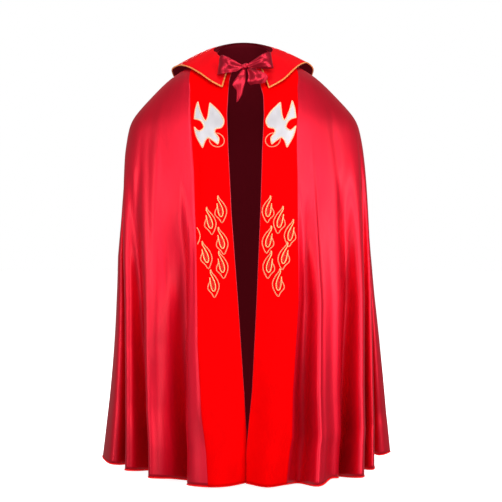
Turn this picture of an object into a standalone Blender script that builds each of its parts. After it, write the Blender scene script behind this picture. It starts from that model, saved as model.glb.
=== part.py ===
"""A cope as it hangs when worn, with no wearer: a red satin cloak, open in front, with two
orphreys down the front edges, a turned-down collar with a corded edge and a ribbon bow.

Units are metres, +Z up. The front faces -Y, and left means -X. The origin is the middle of the
neck, at the height where the wearer's shoulders carry the cloth.
"""

import math

import bmesh
import bpy
import numpy as np
from mathutils import Vector
from mathutils.geometry import delaunay_2d_cdt

# Heights, with the origin at the neck.
NECK_Z = 0.012
HEM_Z = -1.345
SIDE_HEM_RISE = 0.015
NECK_TILT = 0.60
TILT_ENDS_AT = 0.40

# The neck ring's half width and depths.
NECK_HALF_WIDTH = 0.094
NECK_FRONT = 0.112
NECK_BACK = 0.085

# The front opening's half width: at the neck, over the chest and at the hem.
GAP_NECK = 0.034
GAP_CHEST = 0.057
GAP_HEM = 0.0015
GAP_OPENS_BY = 0.11
GAP_CLOSES_FROM = 0.20
GAP_CLOSED_BY = 0.90
GAP_ASIDE = 0.0035
CENTRE_X = -0.0035
DRIFT_AT_HEM = 0.019

# Cloth thicknesses, and the gap that pieces keep at seams.
BODY_WALL = 0.002
ORPHREY_WALL = 0.0015
COLLAR_WALL = 0.0025
RIBBON_WALL = 0.0012
DOVE_WALL = 0.0012
SEAM_GAP = 0.0003

# The orphreys' width over the chest and at the hem, and where on the length it grows. Under the
# collar they are wider by the flare, which peaks and ends at shares of the length.
ORPHREY_TOP_WIDTH = 0.115
ORPHREY_HEM_WIDTH = 0.138
ORPHREY_WIDENS = (0.34, 0.58)
ORPHREY_FLARE = 0.030
FLARE_PEAKS_AT = 0.05
FLARE_ENDS_AT = 0.13

# Lines that the plan's half width and depths follow: a size, its height, and its growth per metre
# of fall. The smallest rules at each height, and the softness rounds the corners between them.
HALF_WIDTH_LINES = ((NECK_HALF_WIDTH, NECK_Z, 1.64), (0.2330, -0.075, 1.00), (0.3910, -0.24, 0.091))
FRONT_LINES = ((NECK_FRONT, NECK_Z, 0.50), (0.165, -0.24, 0.132))
BACK_LINES = ((NECK_BACK, NECK_Z, 0.90), (0.165, -0.20, 0.135))
CORNER_SOFTNESS = 0.008
PLAN_SAMPLES = 721

# Stations round the cope at its hem, each a ridge, a valley or a seam line: how much of the
# orphreys' width is passed, the share of the satin's girth from the left seam round the back to
# the right one, the plan place at the hem, and the share of the length where the fold starts.
LEFT_STATIONS = (
    # name, orphreys passed, share, hem x, hem y, start
    ("front edge", 0.0, 0.000, 0.0175, -0.282, 0.30),
    ("orphrey middle", 0.5, 0.000, -0.0470, -0.328, 0.30),
    ("orphrey seam", 1.0, 0.000, -0.1080, -0.338, 0.30),
    ("margin ridge", 1.0, 0.018, -0.1640, -0.330, 0.38),
    ("margin valley", 1.0, 0.050, -0.1760, -0.262, 0.30),
    ("broad fold", 1.0, 0.090, -0.2350, -0.258, 0.22),
    ("broad ridge", 1.0, 0.125, -0.2860, -0.243, 0.20),
    ("second valley", 1.0, 0.148, -0.3020, -0.176, 0.17),
    ("second ridge", 1.0, 0.168, -0.3680, -0.158, 0.16),
    ("side valley", 1.0, 0.183, -0.3920, -0.098, 0.16),
    ("side ridge", 1.0, 0.200, -0.4470, -0.062, 0.17),
    ("side turn", 1.0, 0.222, -0.4735, 0.020, 0.17),
)
RIGHT_STATIONS = (
    ("side turn", 1.0, 0.778, 0.4970, 0.060, 0.17),
    ("side ridge", 1.0, 0.800, 0.4720, 0.012, 0.17),
    ("side valley", 1.0, 0.814, 0.4240, -0.040, 0.16),
    ("third ridge", 1.0, 0.826, 0.4080, -0.160, 0.16),
    ("third valley", 1.0, 0.838, 0.3780, -0.172, 0.16),
    ("second ridge", 1.0, 0.858, 0.3560, -0.252, 0.18),
    ("second valley", 1.0, 0.884, 0.3080, -0.226, 0.20),
    ("broad fold", 1.0, 0.920, 0.2700, -0.252, 0.22),
    ("margin valley", 1.0, 0.944, 0.2440, -0.272, 0.30),
    ("margin ridge", 1.0, 0.964, 0.2240, -0.346, 0.34),
    ("margin dip", 1.0, 0.984, 0.1680, -0.306, 0.36),
    ("orphrey seam", 1.0, 1.000, 0.1300, -0.318, 0.30),
    ("orphrey middle", 1.5, 1.000, 0.0700, -0.338, 0.30),
    ("front edge", 2.0, 1.000, 0.0205, -0.285, 0.30),
)

# The back, which hangs in folds of uneven width and depth. The angles go round from the left side
# to the right one, and the two waves make the folds' places and depths uneven.
BACK_FOLDS = 6
BACK_REACH = 0.345
BACK_HALF_WIDTH = 0.470
BACK_FOLD_DEPTH = 0.062
BACK_START = 0.16
BACK_FROM_ANGLE = 6.0
BACK_ANGLES = 168.0
BACK_SWAY = 2.5
BACK_SWAY_WAVE = 2.3
BACK_UNEVEN = 0.22
BACK_UNEVEN_WAVE = 1.7
BACK_UNEVEN_PHASE = 0.5

# Rings from the neck to the hem, as shares of the length, and steps between two stations.
RINGS = (0, 0.03, 0.06, 0.09, 0.12, 0.148, 0.172, 0.196, 0.23, 0.28, 0.35, 0.44, 0.54, 0.65, 0.77, 0.89, 1)
STEPS = 4
FOLD_GROWTH = 1.15

# The collar, from the left front corner round the back to the right one.
COLLAR_STATIONS = (
    # name, share of the neck, edge x, edge y, edge z
    ("left corner", 0.02, -0.0700, -0.151, -0.121),
    ("left front", 0.09, -0.1030, -0.140, -0.101),
    ("left chest", 0.15, -0.1410, -0.110, -0.070),
    ("left turn", 0.21, -0.1810, -0.058, -0.040),
    ("left side", 0.27, -0.2170, 0.005, -0.023),
    ("left rear side", 0.33, -0.2440, 0.068, -0.030),
    ("left back", 0.40, -0.2130, 0.138, -0.070),
    ("back left", 0.45, -0.1180, 0.170, -0.098),
    ("back", 0.50, 0.0000, 0.180, -0.108),
    ("back right", 0.55, 0.1140, 0.168, -0.096),
    ("right back", 0.60, 0.2050, 0.138, -0.066),
    ("right rear side", 0.67, 0.2340, 0.080, -0.027),
    ("right side", 0.73, 0.2120, 0.024, -0.011),
    ("right turn", 0.79, 0.1870, -0.030, -0.026),
    ("right chest", 0.85, 0.1600, -0.085, -0.055),
    ("right front", 0.91, 0.1250, -0.132, -0.095),
    ("right corner", 0.98, 0.0820, -0.151, -0.123),
)
COLLAR_STEPS = 3
COLLAR_ROWS = 6
COLLAR_RISE = 0.022
COLLAR_CROWN = 0.17
COLLAR_SEAT = ORPHREY_WALL + COLLAR_WALL + 2 * SEAM_GAP
NECK_READINGS = 241
PIPING_RADIUS = 0.0021
PIPING_FROM_ROW = 3

# The bow, a ribbon tied at the front of the neck.
KNOT_CENTRE = (0.003, -0.142, -0.060)
KNOT_HALF_SIZE = (0.0110, 0.0085, 0.0100)
KNOT_SQUARENESS = 0.8
KNOT_SEGMENTS = 16
KNOT_RINGS = 10
LOOP_KNOT_HALF = 0.0060
LOOP_DEPTH = 0.0085
LOOP_STARTS_AT = 0.35
LOOP_TUCK = 0.0003
LOOP_FLARE = 0.8
LOOP_STEPS = 20
LOOPS = (
    # name, side, length, half height at its end, rise of its end, backward lean of its end
    ("bow_loop_left", -1, 0.070, 0.0280, 0.008, 0.0013),
    ("bow_loop_right", 1, 0.070, 0.0260, 0.018, 0.0104),
)
RIBBON_BOW = 0.003
RIBBON_POINTS = 5
TAIL_STEPS = 10
LEFT_TAIL = (
    # name, x, y, z, half width, angle of the width
    ("knot", 0.0000, -0.1420, -0.0708, 0.0035, 0),
    ("fall", -0.0090, -0.1560, -0.0960, 0.0150, 8),
    ("turn", -0.0150, -0.1600, -0.1230, 0.0230, 4),
    ("end", -0.0090, -0.1560, -0.1640, 0.0130, 30),
)
RIGHT_TAIL = (
    ("knot", 0.0110, -0.1420, -0.0688, 0.0030, 35),
    ("fall", 0.0260, -0.1560, -0.0880, 0.0170, 22),
    ("end", 0.0330, -0.1600, -0.1120, 0.0270, 26),
)

# A dove on each orphrey: its outline for the left one, from its middle, with head down.
DOVE_FROM_EDGE = 0.062
DOVE_SHARE = 0.176
DOVE_LATTICE = 0.012
DOVE_REACH = 0.085
DOVE_STEPS = 3
DOVE_MERGE = 1e-5
DOVE_ROWS = (
    # name, across, up, 1 where the outline is smooth and 0 at a point
    ("upper wing tip", 0.003, 0.071, 0),
    ("upper wing leading edge", 0.030, 0.044, 1),
    ("upper wing bend", 0.047, 0.010, 1),
    ("upper wing end", 0.039, -0.010, 1),
    ("upper wing underside", 0.021, -0.013, 1),
    ("nape", 0.018, -0.028, 1),
    ("crown", 0.029, -0.046, 1),
    ("beak", 0.025, -0.067, 0),
    ("throat", 0.012, -0.049, 1),
    ("breast", -0.003, -0.041, 1),
    ("lower wing root", -0.014, -0.052, 1),
    ("lower wing tip", -0.022, -0.073, 0),
    ("lower wing leading edge", -0.041, -0.040, 1),
    ("lower wing end", -0.048, -0.012, 0),
    ("lower wing underside", -0.032, -0.023, 1),
    ("flank", -0.016, -0.010, 1),
    ("tail underside", -0.025, 0.009, 1),
    ("tail lower corner", -0.047, 0.014, 0),
    ("tail end", -0.043, 0.040, 1),
    ("tail upper corner", -0.036, 0.067, 0),
    ("tail upperside", -0.026, 0.038, 1),
    ("back", -0.012, 0.016, 1),
    ("upper wing root", -0.001, 0.030, 1),
)

COLOURS = {
    "satin": (0.62, 0.010, 0.030, 1.0, 0.32),
    "orphrey_red": (0.80, 0.002, 0.008, 1.0, 0.75),
    "gold_cord": (0.85, 0.42, 0.12, 1.0, 0.50),
    "ribbon": (0.46, 0.012, 0.045, 1.0, 0.35),
    "silver_cloth": (0.72, 0.70, 0.76, 1.0, 0.45),
}


def smallest_of(lines, height):
    """The smallest of several straight lines at each height, with the corners rounded."""
    sizes = np.stack([size + (at - height) * growth for size, at, growth in lines])
    return -CORNER_SOFTNESS * np.log(np.exp(-sizes / CORNER_SOFTNESS).sum(axis=0))


def ease(share):
    """A smooth step from 0 to 1."""
    share = np.clip(share, 0.0, 1.0)
    return share * share * (3.0 - 2.0 * share)


def through(rows, at):
    """A smooth curve through the rows, read at places counted in rows, with Catmull-Rom slopes."""
    rows = np.asarray(rows, float)
    slopes = np.gradient(rows, axis=0)
    first = np.clip(np.floor(at).astype(int), 0, len(rows) - 2)
    f = (at - first)[:, None]
    start, end = rows[first], rows[first + 1]
    out, back = slopes[first], slopes[first + 1]
    rise = f * f * (3.0 - 2.0 * f)
    return start + (end - start) * rise + out * f * (1.0 - f) ** 2 - back * f * f * (1.0 - f)


def back_stations():
    """Ridges and valleys across the back, spread evenly by share and made uneven by slow waves."""
    first, last = LEFT_STATIONS[-1], RIGHT_STATIONS[0]
    count = 2 * BACK_FOLDS + 1
    rows = []
    for i in range(count):
        t = (i + 1) / (count + 1)
        angle = BACK_FROM_ANGLE + BACK_ANGLES * t + BACK_SWAY * math.sin(BACK_SWAY_WAVE * i)
        angle = math.radians(angle)
        uneven = 1.0 + BACK_UNEVEN * math.sin(BACK_UNEVEN_WAVE * i + BACK_UNEVEN_PHASE)
        depth = BACK_FOLD_DEPTH / 2 * uneven * (-1 if i % 2 == 0 else 1)
        x = -math.cos(angle) * (BACK_HALF_WIDTH + depth)
        y = math.sin(angle) * (BACK_REACH + depth)
        share = first[2] + (last[2] - first[2]) * t
        rows.append(("back fold", 1.0, share, x, y, BACK_START))
    return tuple(rows)


STATIONS = LEFT_STATIONS + back_stations() + RIGHT_STATIONS
LEFT_SEAM = 2


def on_grid(grid, row, column):
    """Points of a grid at places counted in rows and columns, straight between its points."""
    r = np.clip(row.astype(int), 0, grid.shape[0] - 2)
    c = np.clip(column.astype(int), 0, grid.shape[1] - 2)
    down, along = (row - r)[:, None], (column - c)[:, None]
    upper = grid[r, c] * (1.0 - along) + grid[r, c + 1] * along
    lower = grid[r + 1, c] * (1.0 - along) + grid[r + 1, c + 1] * along
    return upper * (1.0 - down) + lower * down


def inside(outline, a, b):
    """Whether a point lies within a closed outline, by counting the sides to its right."""
    following = np.roll(outline, -1, axis=0)
    spans = (outline[:, 1] > b) != (following[:, 1] > b)
    start, end = outline[spans], following[spans]
    meets = start[:, 0] + (b - start[:, 1]) * (end[:, 0] - start[:, 0]) / (end[:, 1] - start[:, 1])
    return np.count_nonzero(meets > a) % 2 == 1


def half_gap(v):
    """Half the width of the front opening at a share v of the length."""
    opened = GAP_NECK + (GAP_CHEST - GAP_NECK) * ease(v / GAP_OPENS_BY)
    closed = np.clip((v - GAP_CLOSES_FROM) / (GAP_CLOSED_BY - GAP_CLOSES_FROM), 0.0, 1.0)
    return opened + (GAP_HEM - GAP_CHEST) * closed


def orphrey_width(v):
    """The width of an orphrey at a share v of the length."""
    start, end = ORPHREY_WIDENS
    grown = (ORPHREY_HEM_WIDTH - ORPHREY_TOP_WIDTH) * ease((v - start) / (end - start))
    fading = ease((v - FLARE_PEAKS_AT) / (FLARE_ENDS_AT - FLARE_PEAKS_AT))
    flare = ORPHREY_FLARE * ease(v / FLARE_PEAKS_AT) * (1.0 - fading)
    return ORPHREY_TOP_WIDTH + grown + flare


def base_ring(v, girth):
    """The plan of the cope at a share v of its length before it has folds: an ellipse from one
    front edge round the back to the other, read by arc length at the given places, each a count
    of orphrey widths passed and a share of the satin's girth."""
    height = NECK_Z + (HEM_Z - NECK_Z) * v
    half_width = smallest_of(HALF_WIDTH_LINES, np.array([height]))[0]
    front = smallest_of(FRONT_LINES, np.array([height]))[0]
    back = smallest_of(BACK_LINES, np.array([height]))[0]
    left_edge = math.asin((half_gap(v) - GAP_ASIDE) / half_width)
    right_edge = math.asin((half_gap(v) + GAP_ASIDE) / half_width)
    turn = np.linspace(left_edge, 2.0 * math.pi - right_edge, PLAN_SAMPLES)
    x = CENTRE_X + DRIFT_AT_HEM * v - half_width * np.sin(turn)
    y = -np.where(np.cos(turn) > 0, front, back) * np.cos(turn)
    along = np.concatenate([[0.0], np.cumsum(np.hypot(np.diff(x), np.diff(y)))])
    band = orphrey_width(v)
    at = girth[:, 0] * band + girth[:, 1] * (along[-1] - 2.0 * band)
    return np.stack([np.interp(at, along, x), np.interp(at, along, y)], axis=1), height, half_width


def cope_points(places, shares):
    """Points of the cope's outer face, as [ring, place, xyz].

    places are counted in stations from the left front edge, and shares run from neck to hem.
    A point is the plain ring's point, plus its fold's sideways and outward reach at the hem
    times how far that fold has opened at that height.
    """
    rows = np.array([row[1:] for row in STATIONS])
    girth = np.stack([np.interp(places, range(len(rows)), rows[:, k]) for k in (0, 1)], axis=1)
    start = np.interp(places, range(len(rows)), rows[:, 4])
    reach = through(rows[:, 2:4], places) - base_ring(1.0, girth)[0]
    neck_depth = base_ring(0.0, girth)[0][:, 1]
    rings = []
    for v in shares:
        plan, height, half_width = base_ring(v, girth)
        opened = np.clip((v - start) / (1.0 - start), 0.0, 1.0) ** FOLD_GROWTH
        plan = plan + reach * opened[:, None]
        tilt = NECK_TILT * neck_depth * max(0.0, 1.0 - v / TILT_ENDS_AT) ** 2
        rise = SIDE_HEM_RISE * v * v * np.clip((plan[:, 0] / half_width) ** 2, 0.0, 1.0)
        rings.append(np.column_stack([plan, height + tilt + rise]))
    return np.array(rings)


def normals_of(grid):
    """Unit normals of a grid of points, pointing to the outer side of the cope."""
    down = np.gradient(grid, axis=0)
    along = np.gradient(grid, axis=1)
    normal = np.cross(along, down)
    return normal / np.linalg.norm(normal, axis=2, keepdims=True)


def grid_mesh(name, grid):
    """A mesh over a grid of points, in triangles, whose diagonals all run the same way."""
    rows, columns = grid.shape[:2]
    corner = (np.arange(rows - 1)[:, None] * columns + np.arange(columns - 1)).ravel()
    below = corner + columns
    faces = np.concatenate(
        [
            np.stack([corner, below + 1, below], axis=1),
            np.stack([corner, corner + 1, below + 1], axis=1),
        ]
    )
    mesh = bpy.data.meshes.new(name)
    mesh.from_pydata(grid.reshape(-1, 3).tolist(), [], faces.tolist())
    mesh.update()
    return mesh


def material(name):
    """A Principled material in one of the object's colours."""
    red, green, blue, alpha, roughness = COLOURS[name]
    made = bpy.data.materials.get(name) or bpy.data.materials.new(name)
    made.use_nodes = True
    shader = made.node_tree.nodes["Principled BSDF"]
    shader.inputs["Base Color"].default_value = (red, green, blue, alpha)
    shader.inputs["Roughness"].default_value = roughness
    shader.inputs["Metallic"].default_value = 0.0
    return made


def add_object(name, data, finish, collection):
    """Links a new object with one material."""
    made = bpy.data.objects.new(name, data)
    data.materials.append(material(finish))
    collection.objects.link(made)
    return made


def add_wall(name, grid, thickness, side, finish, collection):
    """A cloth wall: an open surface with a Solidify, inwards for side -1 and outwards for 1."""
    made = add_object(name, grid_mesh(name, grid), finish, collection)
    made.data.shade_smooth()
    wall = made.modifiers.new("wall", "SOLIDIFY")
    wall.thickness = thickness
    wall.offset = side
    wall.use_rim = True
    return made


def places_between(first, last, steps):
    """Places from one station to another, with the same steps between any two."""
    return np.linspace(first, last, (last - first) * steps + 1)


def body_grid():
    """The cope's outer face at its own rings and places."""
    return cope_points(places_between(0, len(STATIONS) - 1, STEPS), RINGS)


def build_body(collection):
    """The satin cloak, one wall from front edge to front edge."""
    add_wall("cope_body", body_grid(), BODY_WALL, -1, "satin", collection)


def orphrey_grid(side):
    """The points that an orphrey lies on: the body's own points beside a front edge, moved out."""
    grid = body_grid()
    grid = grid + normals_of(grid) * SEAM_GAP
    strip = LEFT_SEAM * STEPS + 1
    return grid[:, :strip] if side < 0 else grid[:, -strip:]


def build_orphreys(collection):
    """The two front bands, each on the body's own points from the front edge to its seam."""
    for side, name in ((-1, "orphrey_left"), (1, "orphrey_right")):
        add_wall(name, orphrey_grid(side), ORPHREY_WALL, 1, "orphrey_red", collection)


def collar_edge(places):
    """Where the collar leaves the neck and where its edge lies, at places counted in stations."""
    table = through([row[1:] for row in COLLAR_STATIONS], places)
    neck = cope_points(np.linspace(0, len(STATIONS) - 1, NECK_READINGS), (0.0,))[0]
    along = np.concatenate([[0.0], np.cumsum(np.linalg.norm(np.diff(neck, axis=0), axis=1))])
    at = table[:, 0] * along[-1]
    root = np.stack([np.interp(at, along, neck[:, k]) for k in range(3)], axis=1)
    root[:, 2] += COLLAR_SEAT
    return root, table[:, 1:]


def collar_grid():
    """The collar's upper face: a quadratic curve from the neck up over its roll and out to the edge."""
    root, edge = collar_edge(places_between(0, len(COLLAR_STATIONS) - 1, COLLAR_STEPS))
    crown = root + COLLAR_CROWN * (edge - root)
    crown[:, 2] = root[:, 2] + COLLAR_RISE
    rows = []
    for w in np.linspace(0.0, 1.0, COLLAR_ROWS + 1):
        rows.append((1 - w) ** 2 * root + 2 * w * (1 - w) * crown + w * w * edge)
    return np.array(rows)


def bead_line(points, normals, reach):
    """A line beside an open edge, kept the same distance from it and mitred at its corners."""
    steps = np.diff(points, axis=0)
    steps /= np.linalg.norm(steps, axis=1, keepdims=True)
    aside = np.cross(0.5 * (normals[1:] + normals[:-1]), steps)
    aside /= np.linalg.norm(aside, axis=1, keepdims=True)
    before = np.concatenate([aside[:1], aside])
    after = np.concatenate([aside, aside[-1:]])
    spread = 1.0 + np.sum(before * after, axis=1, keepdims=True)
    return points + reach * (before + after) / spread


def free_edge(grid):
    """A collar's free edge past its roll: down its first column, along its last row and up its
    last column."""
    down, up = grid[PIPING_FROM_ROW:, 0], grid[PIPING_FROM_ROW:, -1][::-1]
    return np.concatenate([down, grid[-1, 1:-1], up])


def build_collar(collection):
    """The turned-down collar and the cord along its three free edges."""
    grid = collar_grid()
    add_wall("collar", grid, COLLAR_WALL, -1, "orphrey_red", collection)
    normals = normals_of(grid)
    middle = free_edge(grid - normals * COLLAR_WALL / 2)
    line = bead_line(middle, free_edge(normals), PIPING_RADIUS + SEAM_GAP)
    add_cord("collar_piping", line, PIPING_RADIUS, "gold_cord", collection)


def add_cord(name, line, radius, finish, collection):
    """A round cord along a line of points, as a bevelled curve with its ends filled."""
    curve = bpy.data.curves.new(name, "CURVE")
    curve.dimensions = "3D"
    curve.bevel_depth = radius
    curve.bevel_resolution = 1
    curve.use_fill_caps = True
    spline = curve.splines.new("POLY")
    spline.points.add(len(line) - 1)
    spline.points.foreach_set("co", np.column_stack([line, np.ones(len(line))]).ravel())
    add_object(name, curve, finish, collection)


def build_knot(collection):
    """The bow's knot, a ball drawn out to a rounded block."""
    shape = bmesh.new()
    bmesh.ops.create_uvsphere(shape, u_segments=KNOT_SEGMENTS, v_segments=KNOT_RINGS, radius=1.0)
    for vertex in shape.verts:
        squared = [math.copysign(abs(c) ** KNOT_SQUARENESS, c) for c in vertex.co]
        vertex.co = [k + h * c for k, h, c in zip(KNOT_CENTRE, KNOT_HALF_SIZE, squared)]
    mesh = bpy.data.meshes.new("bow_knot")
    shape.to_mesh(mesh)
    shape.free()
    mesh.shade_smooth()
    add_object("bow_knot", mesh, "ribbon", collection)


def loop_grid(side, length, end_half, rise, lean):
    """A ribbon loop beside the knot: out behind, round its end and back in front. Its height
    grows from the knot to its end, and its end rises and leans back by the given amounts."""
    turn = np.linspace(LOOP_STARTS_AT, 2.0 * math.pi - LOOP_STARTS_AT, LOOP_STEPS + 1)
    out = (math.cos(LOOP_STARTS_AT) - np.cos(turn)) / (math.cos(LOOP_STARTS_AT) + 1.0)
    out = np.maximum(out, 0.0)
    x = KNOT_CENTRE[0] + side * (KNOT_HALF_SIZE[0] - LOOP_TUCK + length * out)
    y = KNOT_CENTRE[1] + LOOP_DEPTH * np.sin(turn) + lean * out
    z = KNOT_CENTRE[2] + rise * out
    half = LOOP_KNOT_HALF + (end_half - LOOP_KNOT_HALF) * out ** LOOP_FLARE
    rows = [np.column_stack([x, y, z + half * level]) for level in np.linspace(1, -1, RIBBON_POINTS)]
    grid = np.array(rows)
    return grid if side > 0 else grid[::-1]


def tail_grid(table):
    """A ribbon tail, as a strip along the rows of a table: the middle, half the width, and the
    angle that the strip's width makes with +X."""
    rows = through([row[1:] for row in table], np.linspace(0, len(table) - 1, TAIL_STEPS + 1))
    across = np.linspace(-1.0, 1.0, RIBBON_POINTS)[None, :]
    reach = rows[:, 3:4] * across
    lean = np.radians(rows[:, 4:5])
    x = rows[:, 0:1] + reach * np.cos(lean)
    y = rows[:, 1:2] - RIBBON_BOW * (1.0 - across ** 2)
    z = rows[:, 2:3] + reach * np.sin(lean)
    return np.stack([x, y, z], axis=2)


def build_bow(collection):
    """The ribbon bow: a knot, two loops and two tails."""
    build_knot(collection)
    for name, side, length, end_half, rise, lean in LOOPS:
        grid = loop_grid(side, length, end_half, rise, lean)
        add_wall(name, grid, RIBBON_WALL, -1, "ribbon", collection)
    for name, table in (("bow_tail_left", LEFT_TAIL), ("bow_tail_right", RIGHT_TAIL)):
        add_wall(name, tail_grid(table), RIBBON_WALL, -1, "ribbon", collection)


def dove_outline(side):
    """The outline of a descending dove, head down, closed and smooth through its rows."""
    rows = np.array([row[1:] for row in DOVE_ROWS])
    start, end = rows[:, :2], np.roll(rows[:, :2], -1, axis=0)
    out = 0.5 * (end - np.roll(start, 1, axis=0)) * rows[:, 2:]
    back = np.roll(out, -1, axis=0)
    f = (np.arange(DOVE_STEPS) / DOVE_STEPS)[None, :, None]
    rise = f * f * (3.0 - 2.0 * f)
    curve = start[:, None] + (end - start)[:, None] * rise
    curve = curve + out[:, None] * f * (1.0 - f) ** 2 - back[:, None] * f * f * (1.0 - f)
    outline = curve.reshape(-1, 2)
    return outline * (-side, 1.0)


def build_dove(name, side, collection):
    """A thin dove laid on an orphrey: its outline and a lattice within it, filled with triangles,
    and each point moved to the orphrey's outer face."""
    outline = dove_outline(side)
    lattice = np.arange(-DOVE_REACH, DOVE_REACH, DOVE_LATTICE)
    inner = [Vector((a, b)) for a in lattice for b in lattice if inside(outline, a, b)]
    count = len(outline)
    ring = [(i, (i + 1) % count) for i in range(count)]
    flat = [Vector(point) for point in outline] + inner
    points, _, faces = delaunay_2d_cdt(flat, ring, [list(range(count))], 1, DOVE_MERGE)[:3]
    grid = orphrey_grid(side)
    grid = grid + normals_of(grid) * (ORPHREY_WALL + SEAM_GAP)
    drop = np.array([p.y for p in points])
    across = DOVE_FROM_EDGE + side * np.array([p.x for p in points])
    place = across / orphrey_width(DOVE_SHARE) * LEFT_SEAM * STEPS
    place = place if side < 0 else grid.shape[1] - 1 - place
    ring_at = np.interp(DOVE_SHARE - drop / (NECK_Z - HEM_Z), RINGS, range(len(RINGS)))
    mesh = bpy.data.meshes.new(name)
    mesh.from_pydata(on_grid(grid, ring_at, place).tolist(), [], faces)
    mesh.update()
    made = add_object(name, mesh, "silver_cloth", collection)
    wall = made.modifiers.new("wall", "SOLIDIFY")
    wall.thickness = DOVE_WALL
    wall.offset = 1
    wall.use_rim = True


def main():
    """Clears the scene and builds every piece."""
    for old in list(bpy.data.objects):
        bpy.data.objects.remove(old)
    collection = bpy.data.collections.new("cope")
    bpy.context.scene.collection.children.link(collection)
    build_body(collection)
    build_orphreys(collection)
    build_collar(collection)
    build_bow(collection)
    build_dove("dove_left", -1, collection)
    build_dove("dove_right", 1, collection)


main()
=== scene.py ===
"""The looks of a red satin cope, worn with no wearer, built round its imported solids.

A long cloak of red satin hangs open in front. It has a bright red band down each front edge, a
turned-down collar with a corded edge, a ribbon bow at the neck, a silver dove with a halo on each
band and a fall of outlined flames below it. Units are metres, +Z up, and the front faces -Y.
"""

import logging
import math
from dataclasses import dataclass, field
from enum import Enum
from typing import NamedTuple

import bpy
import numpy as np
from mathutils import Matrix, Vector
from mathutils.geometry import delaunay_2d_cdt


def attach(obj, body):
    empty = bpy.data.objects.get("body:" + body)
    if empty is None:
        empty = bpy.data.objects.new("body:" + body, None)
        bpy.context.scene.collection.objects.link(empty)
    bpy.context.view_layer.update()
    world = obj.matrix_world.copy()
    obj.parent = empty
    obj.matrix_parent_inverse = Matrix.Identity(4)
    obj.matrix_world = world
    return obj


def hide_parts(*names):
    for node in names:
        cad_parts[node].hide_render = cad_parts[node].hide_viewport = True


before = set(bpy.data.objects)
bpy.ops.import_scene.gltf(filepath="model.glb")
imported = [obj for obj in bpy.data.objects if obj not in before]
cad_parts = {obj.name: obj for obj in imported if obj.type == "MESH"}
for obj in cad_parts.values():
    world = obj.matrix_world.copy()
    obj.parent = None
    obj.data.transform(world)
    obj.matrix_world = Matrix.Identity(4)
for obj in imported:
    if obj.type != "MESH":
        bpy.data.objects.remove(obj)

log = logging.getLogger("cope")

WHITE = (1.0, 1.0, 1.0, 1.0)
EVEN = (1.0, 1.0, 1.0)
# The least length that a vector is divided by.
TINY = 1e-12
# A full turn, rounded. A thread count divided by it is the scale of the weave's wave texture.
THREAD_TURN = 6.28
# How far a wave texture turns in one unit at scale 1, in radians.
WAVE_RATE = 20.0
# Past this slope a cord runs nearly along +Z, and takes its sides from +Y.
STEEP = 0.8
# Half of how far a cord's radius is lowered between its strands, as a share of it.
STRAND_DEPTH = 0.10


class Side(Enum):
    """The two sides of the front, as seen from in front."""

    LEFT = -1
    RIGHT = 1

    @property
    def label(self) -> str:
        """The side's word in piece names."""
        return self.name.lower()


class Station(NamedTuple):
    """A line down the cloak: bands passed, share of the satin's girth, and its place at the hem.

    Its fold opens from its start, a share of the length. Its fall is how much lower than the hem's
    plain height it hangs.
    """

    name: str
    bands: float
    share: float
    x: float
    y: float
    start: float
    fall: float


class Crease(NamedTuple):
    """A soft fold that stands out of the surface, or is sunk into it where its depth is below 0.

    Its place, slant and width are counted in stations, its top and end in shares of the length.
    """

    place: float
    slant: float
    width: float
    top: float
    end: float
    depth: float


class CollarStation(NamedTuple):
    """A line down the collar: its share of the neck and where its free edge lies."""

    name: str
    share: float
    x: float
    y: float
    z: float


class RibbonRow(NamedTuple):
    """A row along a ribbon: its middle, half its width, and the lean of its width in degrees."""

    x: float
    y: float
    z: float
    half: float
    lean: float


class FlamePlace(NamedTuple):
    """Where a flame lies on its band, in metres.

    Its axis runs from its top, this far across from the front edge and down the band, to its foot,
    a flame's length lower and nearer the front edge by the lean.
    """

    across: float
    down: float
    lean: float


class SizeLine(NamedTuple):
    """A bound on a ring's size: the size at a height, that height, and its growth per metre down."""

    size: float
    height: float
    growth: float


class Lamp(NamedTuple):
    """A soft box: its place, what it faces, its width and height, its watts and spread in degrees."""

    name: str
    place: tuple[float, float, float]
    aim: tuple[float, float, float]
    width: float
    height: float
    watts: float
    spread: float


LEFT_STATIONS = (
    Station("front edge", 0.0, 0.000, 0.0130, -0.281, 0.30, 0.000),
    Station("orphrey middle", 0.5, 0.000, -0.0470, -0.328, 0.30, 0.000),
    Station("orphrey seam", 1.0, 0.000, -0.1040, -0.338, 0.30, 0.000),
    Station("margin ridge", 1.0, 0.011, -0.1700, -0.284, 0.33, 0.008),
    Station("margin valley", 1.0, 0.030, -0.1550, -0.140, 0.30, 0.034),
    Station("broad fold", 1.0, 0.066, -0.2160, -0.216, 0.29, 0.008),
    Station("broad ridge", 1.0, 0.094, -0.2620, -0.248, 0.26, 0.000),
    Station("broad turn", 1.0, 0.113, -0.2930, -0.236, 0.26, 0.000),
    Station("second valley", 1.0, 0.136, -0.2860, -0.075, 0.30, 0.018),
    Station("second ridge", 1.0, 0.160, -0.3440, -0.164, 0.26, 0.000),
    Station("second turn", 1.0, 0.175, -0.3760, -0.154, 0.26, 0.000),
    Station("side valley", 1.0, 0.190, -0.3700, -0.025, 0.24, 0.012),
    Station("side ridge", 1.0, 0.204, -0.4060, -0.094, 0.20, 0.000),
    Station("side shoulder", 1.0, 0.212, -0.4420, -0.074, 0.20, 0.000),
    Station("side turn", 1.0, 0.224, -0.4735, 0.030, 0.17, 0.000),
)
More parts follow.
